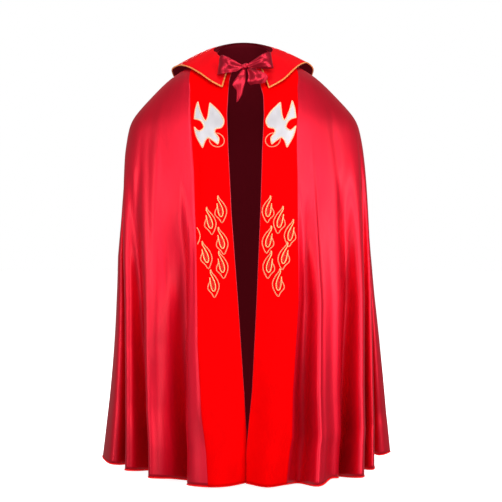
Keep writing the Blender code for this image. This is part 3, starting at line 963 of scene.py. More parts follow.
@dataclass
class CopeForm:
    """The cloak's form: rings from the neck to the hem, whose folds open as they fall.

    A ring is an ellipse from one front edge round the back to the other. The smallest of a few
    straight lines, with soft corners, gives its half width and its depths at each height.
    """

    neck_height: float = 0.012
    hem_height: float = -1.345
    side_rise: float = 0.015
    neck_tilt: float = 0.60
    tilt_end: float = 0.40
    half_width_lines: tuple = (
        SizeLine(0.085, 0.012, 1.70),
        SizeLine(0.2330, -0.075, 1.00),
        SizeLine(0.3917, -0.26, 0.24),
        SizeLine(0.3959, -0.24, 0.0890),
    )
    front_lines: tuple = (SizeLine(0.112, 0.012, 0.50), SizeLine(0.165, -0.24, 0.132))
    back_lines: tuple = (SizeLine(0.085, 0.012, 0.90), SizeLine(0.165, -0.20, 0.135))
    softness: float = 0.012
    opening: tuple = OPENING
    neck_point: float = 1.9
    neck_point_end: float = 0.10
    centre: float = -0.0035
    drift: float = 0.019
    band_widths: dict = field(default_factory=lambda: BAND_WIDTHS)
    fold_growth: float = 1.2
    left_tuck: float = 0.009
    tuck_from: float = 0.5
    back_folds: int = 6
    back_reach: float = 0.345
    back_half_width: float = 0.470
    back_depth: float = 0.062
    back_start: float = 0.16
    back_fall: float = 0.024
    # The back's folds start at this angle in degrees, cover the next, and sway and swell in waves.
    back_from: float = 6.0
    back_turn: float = 168.0
    back_sway: float = 2.5
    sway_step: float = 2.3
    back_swell: float = 0.22
    swell_step: float = 1.7
    swell_start: float = 0.5
    ring_points: int = 721
    creases: tuple = CREASES
    crease_in: float = 0.3
    crease_out: float = 0.2
    stations: tuple = field(init=False)

    def __post_init__(self) -> None:
        """Lists the stations from the left front edge round the back to the right one."""
        self.stations = LEFT_STATIONS + self.back_stations() + RIGHT_STATIONS

    def back_stations(self) -> tuple:
        """Ridges and valleys in turn across the back, made uneven by two slow waves.

        Returns:
            The stations between the left side turn and the right one.
        """
        first, last = LEFT_STATIONS[-1].share, RIGHT_STATIONS[0].share
        count = 2 * self.back_folds + 1
        rows = []
        for i in range(count):
            t = (i + 1) / (count + 1)
            sway = self.back_sway * math.sin(self.sway_step * i)
            angle = math.radians(self.back_from + self.back_turn * t + sway)
            swell = self.back_swell * math.sin(self.swell_step * i + self.swell_start)
            depth = self.back_depth / 2 * (1.0 + swell)
            depth *= -1 if i % 2 == 0 else 1
            x = -math.cos(angle) * (self.back_half_width + depth)
            y = math.sin(angle) * (self.back_reach + depth)
            share = first + (last - first) * t
            fall = self.back_fall * math.sin(math.pi * t)
            rows.append(Station("back fold", 1.0, share, x, y, self.back_start, fall))
        return tuple(rows)

    @property
    def last(self) -> int:
        """The number of the right front edge's station."""
        return len(self.stations) - 1

    @property
    def length(self) -> float:
        """The fall from the neck's height to the hem's."""
        return self.neck_height - self.hem_height

    def smallest(self, lines: tuple, height: float) -> float:
        """The smallest of the lines at a height: -s log(sum of exp(-size / s))."""
        sizes = np.array([size + (at - height) * growth for size, at, growth in lines])
        return float(-self.softness * np.log(np.exp(-sizes / self.softness).sum()))

    def edges(self, v: float) -> np.ndarray:
        """How far the front edges lie left and right of the ring's middle."""
        table = np.array(self.opening)
        return np.array([np.interp(v, table[:, 0], table[:, k]) for k in (1, 2)])

    def band_width(self, v: np.ndarray, side: Side) -> np.ndarray:
        """An orphrey's width at shares of the length."""
        table = np.array(self.band_widths[side])
        return np.interp(v, table[:, 0], table[:, 1])

    def ring(self, v: float, girth: np.ndarray) -> tuple[np.ndarray, float, float]:
        """The plain ring at a share of the length, read by arc length.

        Its front is drawn to a soft point at the neck: its x is the half width times sin^p.

        Args:
            v: The share of the length.
            girth: Rows of bands passed and share of the satin's girth.

        Returns:
            The plan points, the height and the half width.
        """
        height = self.neck_height - self.length * v
        half_width = self.smallest(self.half_width_lines, height)
        front = self.smallest(self.front_lines, height)
        back = self.smallest(self.back_lines, height)
        point = 1.0 + (self.neck_point - 1.0) * float(1.0 - ease(v / self.neck_point_end))
        sides = self.edges(v) / half_width
        left, right = np.arcsin(np.sign(sides) * np.abs(sides) ** (1.0 / point))
        turn = np.linspace(left, 2.0 * math.pi - right, self.ring_points)
        ahead = np.cos(turn) > 0
        reach = np.sign(np.sin(turn)) * np.abs(np.sin(turn)) ** np.where(ahead, point, 1.0)
        x = self.centre + self.drift * v - half_width * reach
        y = -np.where(ahead, front, back) * np.cos(turn)
        plan = np.stack([x, y], axis=1)
        along = line_lengths(plan)
        left, right = (float(self.band_width(np.array(v), side)) for side in Side)
        passed = np.minimum(girth[:, 0], 1.0) * left + np.maximum(girth[:, 0] - 1.0, 0.0) * right
        at = passed + girth[:, 1] * (along[-1] - left - right)
        read = np.stack([np.interp(at, along, x), np.interp(at, along, y)], axis=1)
        return read, height, half_width

    def plain(self, places: np.ndarray, shares: np.ndarray) -> np.ndarray:
        """The cloak's outer face with its main folds.

        A point is the plain ring's, plus its station's reach at the hem times
        ((v - start) / (1 - start)) ^ growth, plus the neck's tilt, less its station's fall times v^3.

        Args:
            places: Places counted in stations from the left front edge.
            shares: Shares of the length.

        Returns:
            Points as [share, place, xyz].
        """
        rows = np.array([station[1:] for station in self.stations])
        count = np.arange(len(rows))
        girth = np.stack([np.interp(places, count, rows[:, k]) for k in (0, 1)], axis=1)
        start = np.interp(places, count, rows[:, 4])
        fall = through(rows[:, 5:6], places)[:, 0]
        reach = through(rows[:, 2:4], places) - self.ring(1.0, girth)[0]
        neck_depth = self.ring(0.0, girth)[0][:, 1]
        rings = []
        for v in shares:
            plan, height, half_width = self.ring(float(v), girth)
            opened = np.clip((v - start) / (1.0 - start), 0.0, 1.0) ** self.fold_growth
            plan = plan + reach * opened[:, None]
            low = max(0.0, (v - self.tuck_from) / (1.0 - self.tuck_from))
            plan[:, 0] += self.tuck(low) * np.clip(-plan[:, 0] / half_width, 0.0, 1.0)
            tilt = self.neck_tilt * neck_depth * max(0.0, 1.0 - v / self.tilt_end) ** 2
            rise = self.side_rise * v * v * np.clip((plan[:, 0] / half_width) ** 2, 0.0, 1.0)
            rings.append(np.column_stack([plan, height + tilt + rise - fall * v**3]))
        return np.array(rings)

    def tuck(self, low: float) -> float:
        """How far the left side is drawn in: 4t(1 - t) of its largest, down the lower part."""
        return self.left_tuck * 4.0 * low * (1.0 - low)

    def crease_heights(self, places: np.ndarray, shares: np.ndarray) -> np.ndarray:
        """How far the soft folds stand out: depth * exp(-(distance / width)^2), eased at its ends.

        Args:
            places: Places counted in stations from the left front edge.
            shares: Shares of the length.

        Returns:
            Heights as [share, place].
        """
        height = np.zeros((len(shares), len(places)))
        for crease in self.creases:
            span = crease.end - crease.top
            t = (shares - crease.top) / span
            fade = ease(t / self.crease_in) * ease((1.0 - t) / self.crease_out)
            centre = crease.place + crease.slant * t
            off = (places[None, :] - centre[:, None]) / crease.width
            height += crease.depth * fade[:, None] * np.exp(-off * off)
        return height

    def points(self, places: np.ndarray, shares: np.ndarray) -> np.ndarray:
        """The cloak's outer face with its main and its soft folds, as [share, place, xyz]."""
        plain = self.plain(places, shares)
        return plain + grid_normals(plain) * self.crease_heights(places, shares)[..., None]


@dataclass
class Cloak:
    """The satin cloak with its lining, lit by a painted glow, its hem binding, which glows with
    painted light too, and the satin edges of the opening, pink with painted sheen.
    """

    form: CopeForm
    steps: int = 8
    rings: int = 121
    wall: float = 0.0012
    ring_crowding: float = 1.05
    hem_radius: float = 0.0019
    hem_step: float = 0.006
    edge_radius: float = 0.0017
    edge_step: float = 0.008

    def grid(self) -> np.ndarray:
        """The outer points of the whole cloak, whose rings lie a little closer near the neck.

        Returns:
            Points as [ring, place, xyz].
        """
        places = np.linspace(0.0, self.form.last, self.form.last * self.steps + 1)
        shares = np.linspace(0.0, 1.0, self.rings) ** self.ring_crowding
        return self.form.points(places, shares)

    @staticmethod
    def flat(grid: np.ndarray) -> np.ndarray:
        """Flat places in metres: the mean run along each row, and the run down from the neck.

        Args:
            grid: The cloak's points.

        Returns:
            Flat places as [ring, place, uv].
        """
        around = np.linalg.norm(np.diff(grid, axis=1), axis=2).mean(axis=0)
        down = np.linalg.norm(np.diff(grid, axis=0), axis=2).mean(axis=1)
        u = np.concatenate([[0.0], np.cumsum(around)])
        v = np.concatenate([[0.0], np.cumsum(down)])
        return np.stack(np.meshgrid(u, -v), axis=2)

    def build(self, shop: Workshop) -> list[bpy.types.Object]:
        """Builds the cloak, its hem binding and its front edges.

        Args:
            shop: Where pieces are made.

        Returns:
            The pieces.
        """
        grid = self.grid()
        # The cloak's inner face and rims take the dark lining with its painted glow.
        body = shop.grid_piece("cloak", grid, self.flat(grid), [SATIN, LINING_AND_PAINTED_SHADE])
        shop.wall(body, self.wall, -1.0, 1, 1)
        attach(body, "root")
        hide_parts("cope_body")
        hem = tube(shop, "hem_binding", grid[-1], self.hem_radius, HEM_RED, self.hem_step)
        edges = []
        for side, column in ((Side.LEFT, 0), (Side.RIGHT, -1)):
            # Each front edge's tube is pink with painted sheen.
            line = grid[:, column] - grid_normals(grid)[:, column] * self.wall / 2
            name = f"front_edge_{side.label}"
            edges.append(tube(shop, name, line, self.edge_radius, EDGE_PINK_PAINTED_SHEEN, self.edge_step))
        return [body, hem, *edges]


def tube(
    shop: Workshop,
    name: str,
    line: np.ndarray,
    radius: float,
    finish: SatinFinish | PlainFinish | ThreadFinish,
    step: float,
    sides: int = 8,
    strands: int = 0,
    pitch: float = 0.01,
) -> bpy.types.Object:
    """A round cord along a line, riding on the cloak.

    A point is the line's, plus the radius times cos a along one side and sin a along the other.
    With strands, the radius is lowered between them, and their wave turns once in each pitch.

    Args:
        shop: Where pieces are made.
        name: The piece's name.
        line: The cord's middle line.
        radius: Its radius.
        finish: Its finish.
        step: The distance between rings.
        sides: Points round each ring.
        strands: How many strands show round it, or 0 for a plain one.
        pitch: The length of one turn of the strands' wave.

    Returns:
        The piece.
    """
    line = evenly(line, step)
    along = unit(np.gradient(line, axis=0))
    up = np.tile([0.0, 0.0, 1.0], (len(line), 1))
    steep = np.abs(along[:, 2:3]) > STEEP
    up = np.where(steep, [[0.0, 1.0, 0.0]], up)
    one = unit(np.cross(along, up))
    other = np.cross(along, one)
    turn = np.linspace(0.0, 2.0 * math.pi, sides, endpoint=False)[None, :]
    run = line_lengths(line)[:, None]
    size = np.full((len(line), sides), radius)
    if strands:
        wave = np.cos(strands * turn - 2.0 * math.pi * run / pitch)
        size = radius * (1.0 - STRAND_DEPTH + STRAND_DEPTH * wave)
    ring = (
        one[:, None] * (size * np.cos(turn))[..., None]
        + other[:, None] * (size * np.sin(turn))[..., None]
    )
    grid = line[:, None] + ring
    uv = np.stack([radius * turn * np.ones_like(run), run * np.ones_like(turn)], axis=2)
    piece = shop.grid_piece(name, grid, uv, [finish], closed=True, capped=True)
    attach(piece, "root")
    return piece


@dataclass
class Orphrey:
    """A bright red band down a front edge, lying on the cloak's own points.

    Its span is counted in stations.
    """

    form: CopeForm
    side: Side
    span: float = 2.0
    columns: int = 41
    rings: int = 141
    seam: float = 0.0003
    wall: float = 0.0012

    def __post_init__(self) -> None:
        """Works out the band's points once, for itself and for what is sewn on it."""
        first = 0.0 if self.side is Side.LEFT else self.form.last - self.span
        places = np.linspace(first, first + self.span, self.columns)
        self.shares = np.linspace(0.0, 1.0, self.rings)
        surface = self.form.points(places, self.shares)
        self.normals = grid_normals(surface)
        self.base = surface + self.normals * self.seam
        self.face = self.base + self.normals * self.wall

    def on(self, across: np.ndarray, share: np.ndarray, lift: float) -> tuple[np.ndarray, np.ndarray]:
        """Points on the band's outer face, straight between its own points.

        Args:
            across: Metres from the front edge.
            share: Shares of the length.
            lift: How far above the face.

        Returns:
            The points and the face's normals there.
        """
        place = across / self.form.band_width(share, self.side) * (self.columns - 1)
        if self.side is Side.RIGHT:
            place = self.columns - 1 - place
        row = np.clip(share, 0.0, 1.0) * (self.rings - 1)
        normals = unit(bilinear(self.normals, row, place))
        return bilinear(self.face, row, place) + normals * lift, normals

    def build(self, shop: Workshop) -> bpy.types.Object:
        """Builds the band as a wall that stands out from the cloak.

        Args:
            shop: Where pieces are made.

        Returns:
            The piece.
        """
        width = self.form.band_width(self.shares, self.side)
        u = np.linspace(0.0, 1.0, self.columns)[None, :] * width[:, None]
        v = -self.form.length * self.shares[:, None] * np.ones(self.columns)
        name = f"band_{self.side.label}"
        band = shop.grid_piece(name, self.base, np.stack([u, v], axis=2), [BAND_RED])
        shop.wall(band, self.wall, 1.0, 0, 0)
        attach(band, "root")
        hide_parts(f"orphrey_{self.side.label}")
        return band


@dataclass
class Collar:
    """The turned-down collar, with two pointed front corners and a twisted gold cord."""

    form: CopeForm
    steps: int = 12
    inner_rows: int = 5
    outer_rows: int = 26
    rise: float = 0.022
    crown: float = 0.10
    seat: float = 0.0046
    wall: float = 0.0025
    neck_points: int = 241
    cord_radius: float = 0.0026
    cord_reach: float = 0.8
    cord_step: float = 0.0012
    cord_sides: int = 12
    cord_strands: int = 3
    cord_pitch: float = 0.009
    cord_from: float = 0.5
    # Inner rows whose root lies behind this depth take the dark lining: painted shade inside the
    # neck.
    painted_shade_from: float = -0.010

    def roots(self, places: np.ndarray) -> tuple[np.ndarray, np.ndarray]:
        """Where the collar leaves the neck and where its edge lies.

        Args:
            places: Places counted in the collar's stations.

        Returns:
            The points on the neck and the points of the edge.
        """
        table = through(np.array([row[1:] for row in COLLAR_STATIONS]), places)
        neck = self.form.plain(np.linspace(0.0, self.form.last, self.neck_points), np.array([0.0]))[0]
        along = line_lengths(neck)
        at = table[:, 0] * along[-1]
        root = np.stack([np.interp(at, along, neck[:, k]) for k in range(3)], axis=1)
        root[:, 2] += self.seat
        return root, table[:, 1:]

    def grid(self) -> tuple[np.ndarray, int]:
        """The collar's upper face, and the row where the dark lining inside, painted shade, gives way
        to it.

        Each line is (1-w)^2 root + 2w(1-w) crown + w^2 edge. Its highest point is where
        w = c / (c + d), for the crown's height c over the root and d over the edge.

        Returns:
            Points as [row, column, xyz] and the number of the highest row.
        """
        last = len(COLLAR_STATIONS) - 1
        places = np.linspace(0.0, last, last * self.steps + 1)
        root, edge = self.roots(places)
        crown = root + self.crown * (edge - root)
        crown[:, 2] = root[:, 2] + self.rise
        top = (crown - root)[:, 2] / ((crown - root)[:, 2] + (crown - edge)[:, 2])
        inner = np.linspace(0.0, 1.0, self.inner_rows)[:, None] * top
        outer = top + np.linspace(0.0, 1.0, self.outer_rows)[1:, None] * (1.0 - top)
        w = np.concatenate([inner, outer])[..., None]
        grid = (1 - w) ** 2 * root + 2 * w * (1 - w) * crown + w * w * edge
        return grid, self.inner_rows - 1

    def build(self, shop: Workshop) -> list[bpy.types.Object]:
        """Builds the collar and the cord along its free edges.

        Args:
            shop: Where pieces are made.

        Returns:
            The pieces.
        """
        grid, turn = self.grid()
        rows, columns = grid.shape[:2]
        u = line_lengths(grid[-1])[None, :] * np.ones(rows)[:, None]
        v = -np.cumsum(np.linalg.norm(np.diff(grid, axis=0, prepend=grid[:1]), axis=2), axis=0)
        slots = np.zeros((rows - 1, columns - 1), int)
        # The back of the inner face, up to the highest row, takes the dark glowing lining: painted
        # shade inside the neck.
        slots[: turn + 1] = (grid[0, :-1, 1] > self.painted_shade_from)[None, :]
        collar = shop.grid_piece(
            "collar_cloth", grid, np.stack([u, v], axis=2), [COLLAR_RED, LINING_AND_PAINTED_SHADE], slots
        )
        # The underside takes the dark lining as well: painted shade under the collar.
        shop.wall(collar, self.wall, -1.0, 1, 0)
        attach(collar, "root")
        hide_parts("collar")
        normals = grid_normals(grid)
        middle = grid - normals * self.wall / 2
        start = turn + int(self.cord_from * (rows - turn))
        line = np.concatenate([middle[start:, 0], middle[-1, 1:-1], middle[:start - 1 : -1, -1]])
        facing = np.concatenate([normals[start:, 0], normals[-1, 1:-1], normals[:start - 1 : -1, -1]])
        line = self.beside(line, facing, self.cord_radius * self.cord_reach)
        cord = tube(
            shop,
            "collar_cord",
            line,
            self.cord_radius,
            GOLD_CORD,
            self.cord_step,
            sides=self.cord_sides,
            strands=self.cord_strands,
            pitch=self.cord_pitch,
        )
        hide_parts("collar_piping")
        return [collar, cord]

    @staticmethod
    def beside(points: np.ndarray, normals: np.ndarray, reach: float) -> np.ndarray:
        """A line the same distance outside an open edge, mitred at its corners.

        A point is moved along the sum of its two sides' ways out, divided by 1 plus their product.

        Args:
            points: The edge's points.
            normals: The surface's normals there.
            reach: The distance.

        Returns:
            The line's points.
        """
        steps = unit(np.diff(points, axis=0))
        aside = unit(np.cross(0.5 * (normals[1:] + normals[:-1]), steps))
        before = np.concatenate([aside[:1], aside])
        after = np.concatenate([aside, aside[-1:]])
        spread = 1.0 + np.sum(before * after, axis=1, keepdims=True)
        return points + reach * (before + after) / spread


@dataclass
class Bow:
    """The ribbon bow at the neck: a gathered knot, two loops and two tails.

    A loop's rows run out behind the knot, round the loop's end and back in front.
    """

    centre: tuple = (0.0030, -0.146, -0.0585)
    half_size: tuple = (0.0150, 0.0090, 0.0088)
    knot_turn: float = 24.0
    knot_rows: int = 33
    knot_columns: int = 48
    squareness: float = 0.8
    gather_depth: float = 0.16
    gather_turns: tuple = (6.0, 2.0)
    knot_cloth: float = 0.01
    wall: float = 0.0010
    ribbon_half: float = 0.028
    loop_rows: int = 71
    loop_lines: int = 27
    loop_bulge: float = 0.0040
    # A loop turns forward from this row, over the next number of rows.
    loop_turn: float = 3.0
    loop_turn_rows: float = 2.0
    fan_depth: float = 0.0026
    fan_turns: float = 5.5
    fan_start: float = 1.2
    fan_drift: float = 0.5
    tail_rows: int = 57
    tail_lines: int = 25
    tail_bulge: float = 0.003
    left_ripple: float = 0.0012
    right_ripple: float = 0.0042
    ripple_turns: float = 4.6
    ripple_drift: float = 1.6
    ripple_start: float = 1.3
    left_loop: tuple = (
        RibbonRow(-0.0060, -0.1340, -0.0590, 0.0050, 0),
        RibbonRow(-0.0450, -0.1220, -0.0520, 0.0190, 4),
        RibbonRow(-0.0720, -0.1240, -0.0560, 0.0240, 6),
        RibbonRow(-0.0810, -0.1370, -0.0570, 0.0280, 8),
        RibbonRow(-0.0700, -0.1530, -0.0540, 0.0300, 3),
        RibbonRow(-0.0450, -0.1640, -0.0585, 0.0240, -6),
        RibbonRow(-0.0220, -0.1570, -0.0600, 0.0150, -8),
        RibbonRow(-0.0060, -0.1500, -0.0595, 0.0060, -8),
    )
    right_loop: tuple = (
        RibbonRow(0.0120, -0.1340, -0.0560, 0.0050, 0),
        RibbonRow(0.0420, -0.1200, -0.0450, 0.0160, -4),
        RibbonRow(0.0760, -0.1220, -0.0400, 0.0220, -8),
        RibbonRow(0.0900, -0.1370, -0.0390, 0.0245, -10),
        RibbonRow(0.0850, -0.1520, -0.0385, 0.0250, -8),
        RibbonRow(0.0580, -0.1660, -0.0430, 0.0190, 2),
        RibbonRow(0.0320, -0.1600, -0.0510, 0.0115, 6),
        RibbonRow(0.0120, -0.1500, -0.0570, 0.0060, 0),
    )
    left_tail: tuple = (
        RibbonRow(0.0000, -0.1460, -0.0690, 0.0050, 4),
        RibbonRow(-0.0070, -0.1570, -0.0900, 0.0130, 10),
        RibbonRow(-0.0150, -0.1610, -0.1140, 0.0205, 14),
        RibbonRow(-0.0115, -0.1590, -0.1350, 0.0110, 18),
        RibbonRow(-0.0135, -0.1570, -0.1570, 0.0090, 28),
        RibbonRow(-0.0205, -0.1560, -0.1740, 0.0020, 30),
    )
    right_tail: tuple = (
        RibbonRow(0.0150, -0.1450, -0.0660, 0.0045, 25),
        RibbonRow(0.0340, -0.1590, -0.0830, 0.0210, 20),
        RibbonRow(0.0440, -0.1640, -0.1020, 0.0330, 14),
        RibbonRow(0.0450, -0.1600, -0.1170, 0.0240, 8),
    )

    def knot(self, shop: Workshop) -> bpy.types.Object:
        """The knot: a squared ball leaning to one side, with gathers cut in by a wave across it.

        A point is the half sizes times the sign of a ball's point times its size to the power of
        the squareness, times 1 less the gathers, turned about Y.

        Args:
            shop: Where pieces are made.

        Returns:
            The piece.
        """
        turn = np.linspace(0.0, 2.0 * math.pi, self.knot_columns, endpoint=False)[None, :]
        rise = np.linspace(math.pi / 2, -math.pi / 2, self.knot_rows)[:, None]
        level = np.cos(rise)
        ball = np.stack(
            [level * np.cos(turn), level * np.sin(turn), np.sin(rise) * np.ones_like(turn)], axis=2
        )
        shape = np.sign(ball) * np.abs(ball) ** self.squareness
        wide, high = self.gather_turns
        folds = np.cos(wide * ball[..., 0] + high * ball[..., 2]) ** 2
        gather = 1.0 - self.gather_depth * level * folds
        grid = np.array(self.half_size) * shape * gather[..., None]
        lean = math.radians(self.knot_turn)
        x = grid[..., 0] * math.cos(lean) - grid[..., 2] * math.sin(lean)
        z = grid[..., 0] * math.sin(lean) + grid[..., 2] * math.cos(lean)
        grid = np.array(self.centre) + np.stack([x, grid[..., 1], z], axis=2)
        around = turn * self.knot_cloth * np.ones_like(rise)
        uv = np.stack([around, rise * self.knot_cloth * np.ones_like(turn)], axis=2)
        knot = shop.grid_piece("ribbon_knot", grid[:, ::-1], uv[:, ::-1], [RIBBON], closed=True)
        self.dress(knot, "bow_knot")
        return knot

    def loop(self, shop: Workshop, side: Side, table: tuple) -> bpy.types.Object:
        """A loop along the rows of its table, with gathers that fan out from the knot.

        A point is its row's middle, plus its level times half the width along the leaning width,
        and stands out by a bulge and a sine wave that grow towards the middle of the run.

        Args:
            shop: Where pieces are made.
            side: Which loop.
            table: Its rows.

        Returns:
            The piece.
        """
        last = len(table) - 1
        at = np.linspace(0.0, last, self.loop_rows)
        rows = through(np.array(table, float), at)
        level = np.linspace(1.0, -1.0, self.loop_lines)[:, None]
        lean = np.radians(rows[:, 4])
        out = np.sin(math.pi * np.clip(at / last, 0.0, 1.0))
        front = np.clip((at - self.loop_turn) / self.loop_turn_rows, 0.0, 1.0) * 2.0 - 1.0
        wave = level * self.fan_turns + self.fan_start * side.value + self.fan_drift * at
        fan = self.fan_depth * np.sin(wave)
        bulge = self.loop_bulge * (1.0 - level**2)
        grid = np.stack(
            [
                rows[:, 0] + rows[:, 3] * level * np.sin(lean),
                rows[:, 1] - front * out * (bulge + fan),
                rows[:, 2] + rows[:, 3] * level * np.cos(lean),
            ],
            axis=2,
        )
        grid = grid if side is Side.RIGHT else grid[::-1]
        run = line_lengths(rows[:, :2])
        across = self.ribbon_half * level * np.ones_like(run)
        uv = np.stack([across, run * np.ones_like(level)], axis=2)
        loop = shop.grid_piece(f"ribbon_loop_{side.label}", grid, uv, [RIBBON])
        shop.wall(loop, self.wall, -1.0, 0, 0)
        self.dress(loop, f"bow_loop_{side.label}")
        return loop

    def tail(self, shop: Workshop, side: Side, table: tuple) -> bpy.types.Object:
        """A tail: a strip along the rows of its table, bowed out and with long soft gathers.

        A point is its row's middle, plus its share of half the width along the leaning width, and
        stands out by a bulge and a sine wave that grows down the tail.

        Args:
            shop: Where pieces are made.
            side: Which tail.
            table: Its rows.

        Returns:
            The piece.
        """
        at = np.linspace(0.0, len(table) - 1, self.tail_rows)
        rows = through(np.array(table, float), at)
        across = np.linspace(-1.0, 1.0, self.tail_lines)[None, :]
        reach = rows[:, 3:4] * across
        lean = np.radians(rows[:, 4:5])
        down = np.linspace(0.0, 1.0, self.tail_rows)[:, None]
        depth = self.left_ripple if side is Side.LEFT else self.right_ripple
        wave = across * self.ripple_turns + self.ripple_drift * down + self.ripple_start * side.value
        ripple = depth * np.sin(wave) * np.sqrt(down)
        grid = np.stack(
            [
                rows[:, 0:1] + reach * np.cos(lean),
                rows[:, 1:2] - self.tail_bulge * (1.0 - across**2) - ripple,
                rows[:, 2:3] + reach * np.sin(lean),
            ],
            axis=2,
        )
        run = line_lengths(rows[:, :3])[:, None]
        aside = self.ribbon_half * across * np.ones_like(run)
        uv = np.stack([aside, run * np.ones_like(across)], axis=2)
        tail = shop.grid_piece(f"ribbon_tail_{side.label}", grid, uv, [RIBBON])
        shop.wall(tail, self.wall, -1.0, 0, 0)
        self.dress(tail, f"bow_tail_{side.label}")
        return tail

    @staticmethod
    def dress(piece: bpy.types.Object, node: str) -> None:
        """Makes a ribbon piece ride on the cope and stand for its node.

        Args:
            piece: The piece.
            node: The node that it stands for.
        """
        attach(piece, "root")
        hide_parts(node)

    def build(self, shop: Workshop) -> list[bpy.types.Object]:
        """Builds the knot, the loops and the tails.

        Args:
            shop: Where pieces are made.

        Returns:
            The pieces.
        """
        pieces = [self.knot(shop)]
        for side, table in ((Side.LEFT, self.left_loop), (Side.RIGHT, self.right_loop)):
            pieces.append(self.loop(shop, side, table))
        for side, table in ((Side.LEFT, self.left_tail), (Side.RIGHT, self.right_tail)):
            pieces.append(self.tail(shop, side, table))
        return pieces


@dataclass
class Embroidery:
    """The dove, its halo and the flames on one orphrey."""

    band: Orphrey
    dove_wall: float = 0.0008
    cloth_lift: float = 0.0003
    lattice: float = 0.004
    merge: float = 1e-5
    outline_steps: int = 6
    outline_half: float = 0.0022
    outline_height: float = 0.0011
    halo_points: int = 72
    halo_radius: float = 0.0236
    halo_across: float = 0.0238
    halo_up: float = -0.0495
    arch_points: int = 6
    base_share: float = 0.5
    fine_half: float = 0.0015
    fine_height: float = 0.0010
    tongue_height: float = 0.0013
    heart_half: float = 0.0009
    heart_height: float = 0.0007
    stroke_steps: int = 4
    stroke_least: int = 3
    flame_sway: float = 0.07
    flame_shift: float = 0.02
    edge_clear: float = 0.0015

    def __post_init__(self) -> None:
        """Looks up where this side's dove lies."""
        self.dove_across = DOVE_ACROSS[self.band.side]
        self.dove_share = DOVE_DOWN / self.band.form.length

    @property
    def label(self) -> str:
        """The side's word in piece names."""
        return self.band.side.label

    def profile(self, half: float, height: float) -> np.ndarray:
        """A stitched line's section: half an ellipse over a flat base.

        Args:
            half: Half its width.
            height: Its height.

        Returns:
            Rows of sideways reach and height, round the section.
        """
        turn = np.linspace(0.0, math.pi, self.arch_points)
        arch = np.stack([half * np.cos(turn), height * np.sin(turn)], axis=1)
        base = np.array([[-self.base_share * half, 0.0], [self.base_share * half, 0.0]])
        return np.concatenate([arch, base])

    def dove_outline(self) -> np.ndarray:
        """The dove's closed outline, smooth through its rows but for its points.

        From row to row it is a cubic, whose slope at a smooth row is half the way between its
        neighbours and at a point is 0.

        Returns:
            Rows of across from the front edge and up from the dove's middle.
        """
        rows = np.array(DOVE_ROWS)
        start, end = rows[:, :2], np.roll(rows[:, :2], -1, axis=0)
        out = 0.5 * (end - np.roll(start, 1, axis=0)) * rows[:, 2:]
        back = np.roll(out, -1, axis=0)
        f = (np.arange(self.outline_steps) / self.outline_steps)[None, :, None]
        rise = f * f * (3.0 - 2.0 * f)
        curve = start[:, None] + (end - start)[:, None] * rise
        curve = curve + out[:, None] * f * (1.0 - f) ** 2 - back[:, None] * f * f * (1.0 - f)
        flat = curve.reshape(-1, 2)
        return np.column_stack([self.dove_across - flat[:, 0], flat[:, 1]])

    def laid(self, flat: np.ndarray, lift: float) -> tuple[np.ndarray, np.ndarray]:
        """Points of the dove's flat drawing laid on the band."""
        share = self.dove_share - flat[:, 1] / self.band.form.length
        return self.band.on(flat[:, 0], share, lift)

    def dove(self, shop: Workshop) -> list[bpy.types.Object]:
        """The dove's silver cloth, its stitched outline and its halo.

        The cloth is the outline filled with triangles, over an even lattice of points within it.

        Args:
            shop: Where pieces are made.

        Returns:
            The pieces.
        """
        outline = self.dove_outline()
        low, high = outline.min(axis=0), outline.max(axis=0)
        a, b = (np.arange(low[k], high[k], self.lattice) for k in (0, 1))
        inner = np.stack(np.meshgrid(a, b), axis=2).reshape(-1, 2)
        inner = inner[within(outline, inner)]
        count = len(outline)
        ring = [(i, (i + 1) % count) for i in range(count)]
        flat = [Vector(p) for p in np.concatenate([outline, inner]).tolist()]
        found, _, faces = delaunay_2d_cdt(flat, ring, [list(range(count))], 1, self.merge)[:3]
        flat = np.array([tuple(p) for p in found])
        points, _ = self.laid(flat, self.cloth_lift)
        if self.band.side is Side.LEFT:
            faces = [face[::-1] for face in faces]
        cloth = shop.piece(f"dove_cloth_{self.label}", points, faces, flat, [SILVER_CLOTH])
        shop.wall(cloth, self.dove_wall, 1.0, 0, 0)
        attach(cloth, "root")
        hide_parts(f"dove_{self.label}")
        edge = self.laid(outline, self.dove_wall)
        section = self.profile(self.outline_half, self.outline_height)
        stitched = shop.strip_along(
            f"dove_outline_{self.label}", [edge], section, CREAM_STITCH, closed=True
        )
        turn = np.linspace(0.0, 2.0 * math.pi, self.halo_points, endpoint=False)
        halo = np.stack(
            [
                self.dove_across - self.halo_across + self.halo_radius * np.cos(turn),
                self.halo_up + self.halo_radius * np.sin(turn),
            ],
            axis=1,
        )
        ring_line = self.laid(halo, 0.0)
        section = self.profile(self.fine_half, self.outline_height)
        halo_piece = shop.strip_along(
            f"halo_{self.label}", [ring_line], section, SALMON_STITCH, closed=True
        )
        for piece in (stitched, halo_piece):
            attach(piece, "root")
        f"band_{self.label}"
        return [cloth, stitched, halo_piece]

    def stroke(self, table: tuple, place: FlamePlace) -> tuple[np.ndarray, np.ndarray]:
        """One stroke of a flame on the band.

        A point lies below the flame's top by its length times 1 - up. It lies across by the top's
        place, less the lean times 1 - up, plus the length times the sum of its own across and a
        shift, less a sway that grows with up. What would pass the band's seam is left out.

        Args:
            table: Rows of across and up.
            place: Where the flame lies.

        Returns:
            The stroke's points and normals.
        """
        last = len(table) - 1
        rows = through(np.array(table), np.linspace(0.0, last, self.stroke_steps * last + 1))
        sway = self.flame_sway * FLAME_LENGTH * rows[:, 1]
        across = place.across - place.lean * (1.0 - rows[:, 1])
        across = across + (rows[:, 0] + self.flame_shift) * FLAME_LENGTH - sway
        share = (place.down + FLAME_LENGTH * (1.0 - rows[:, 1])) / self.band.form.length
        kept = across < self.band.form.band_width(share, self.band.side) - self.edge_clear
        return self.band.on(across[kept], share[kept], 0.0)

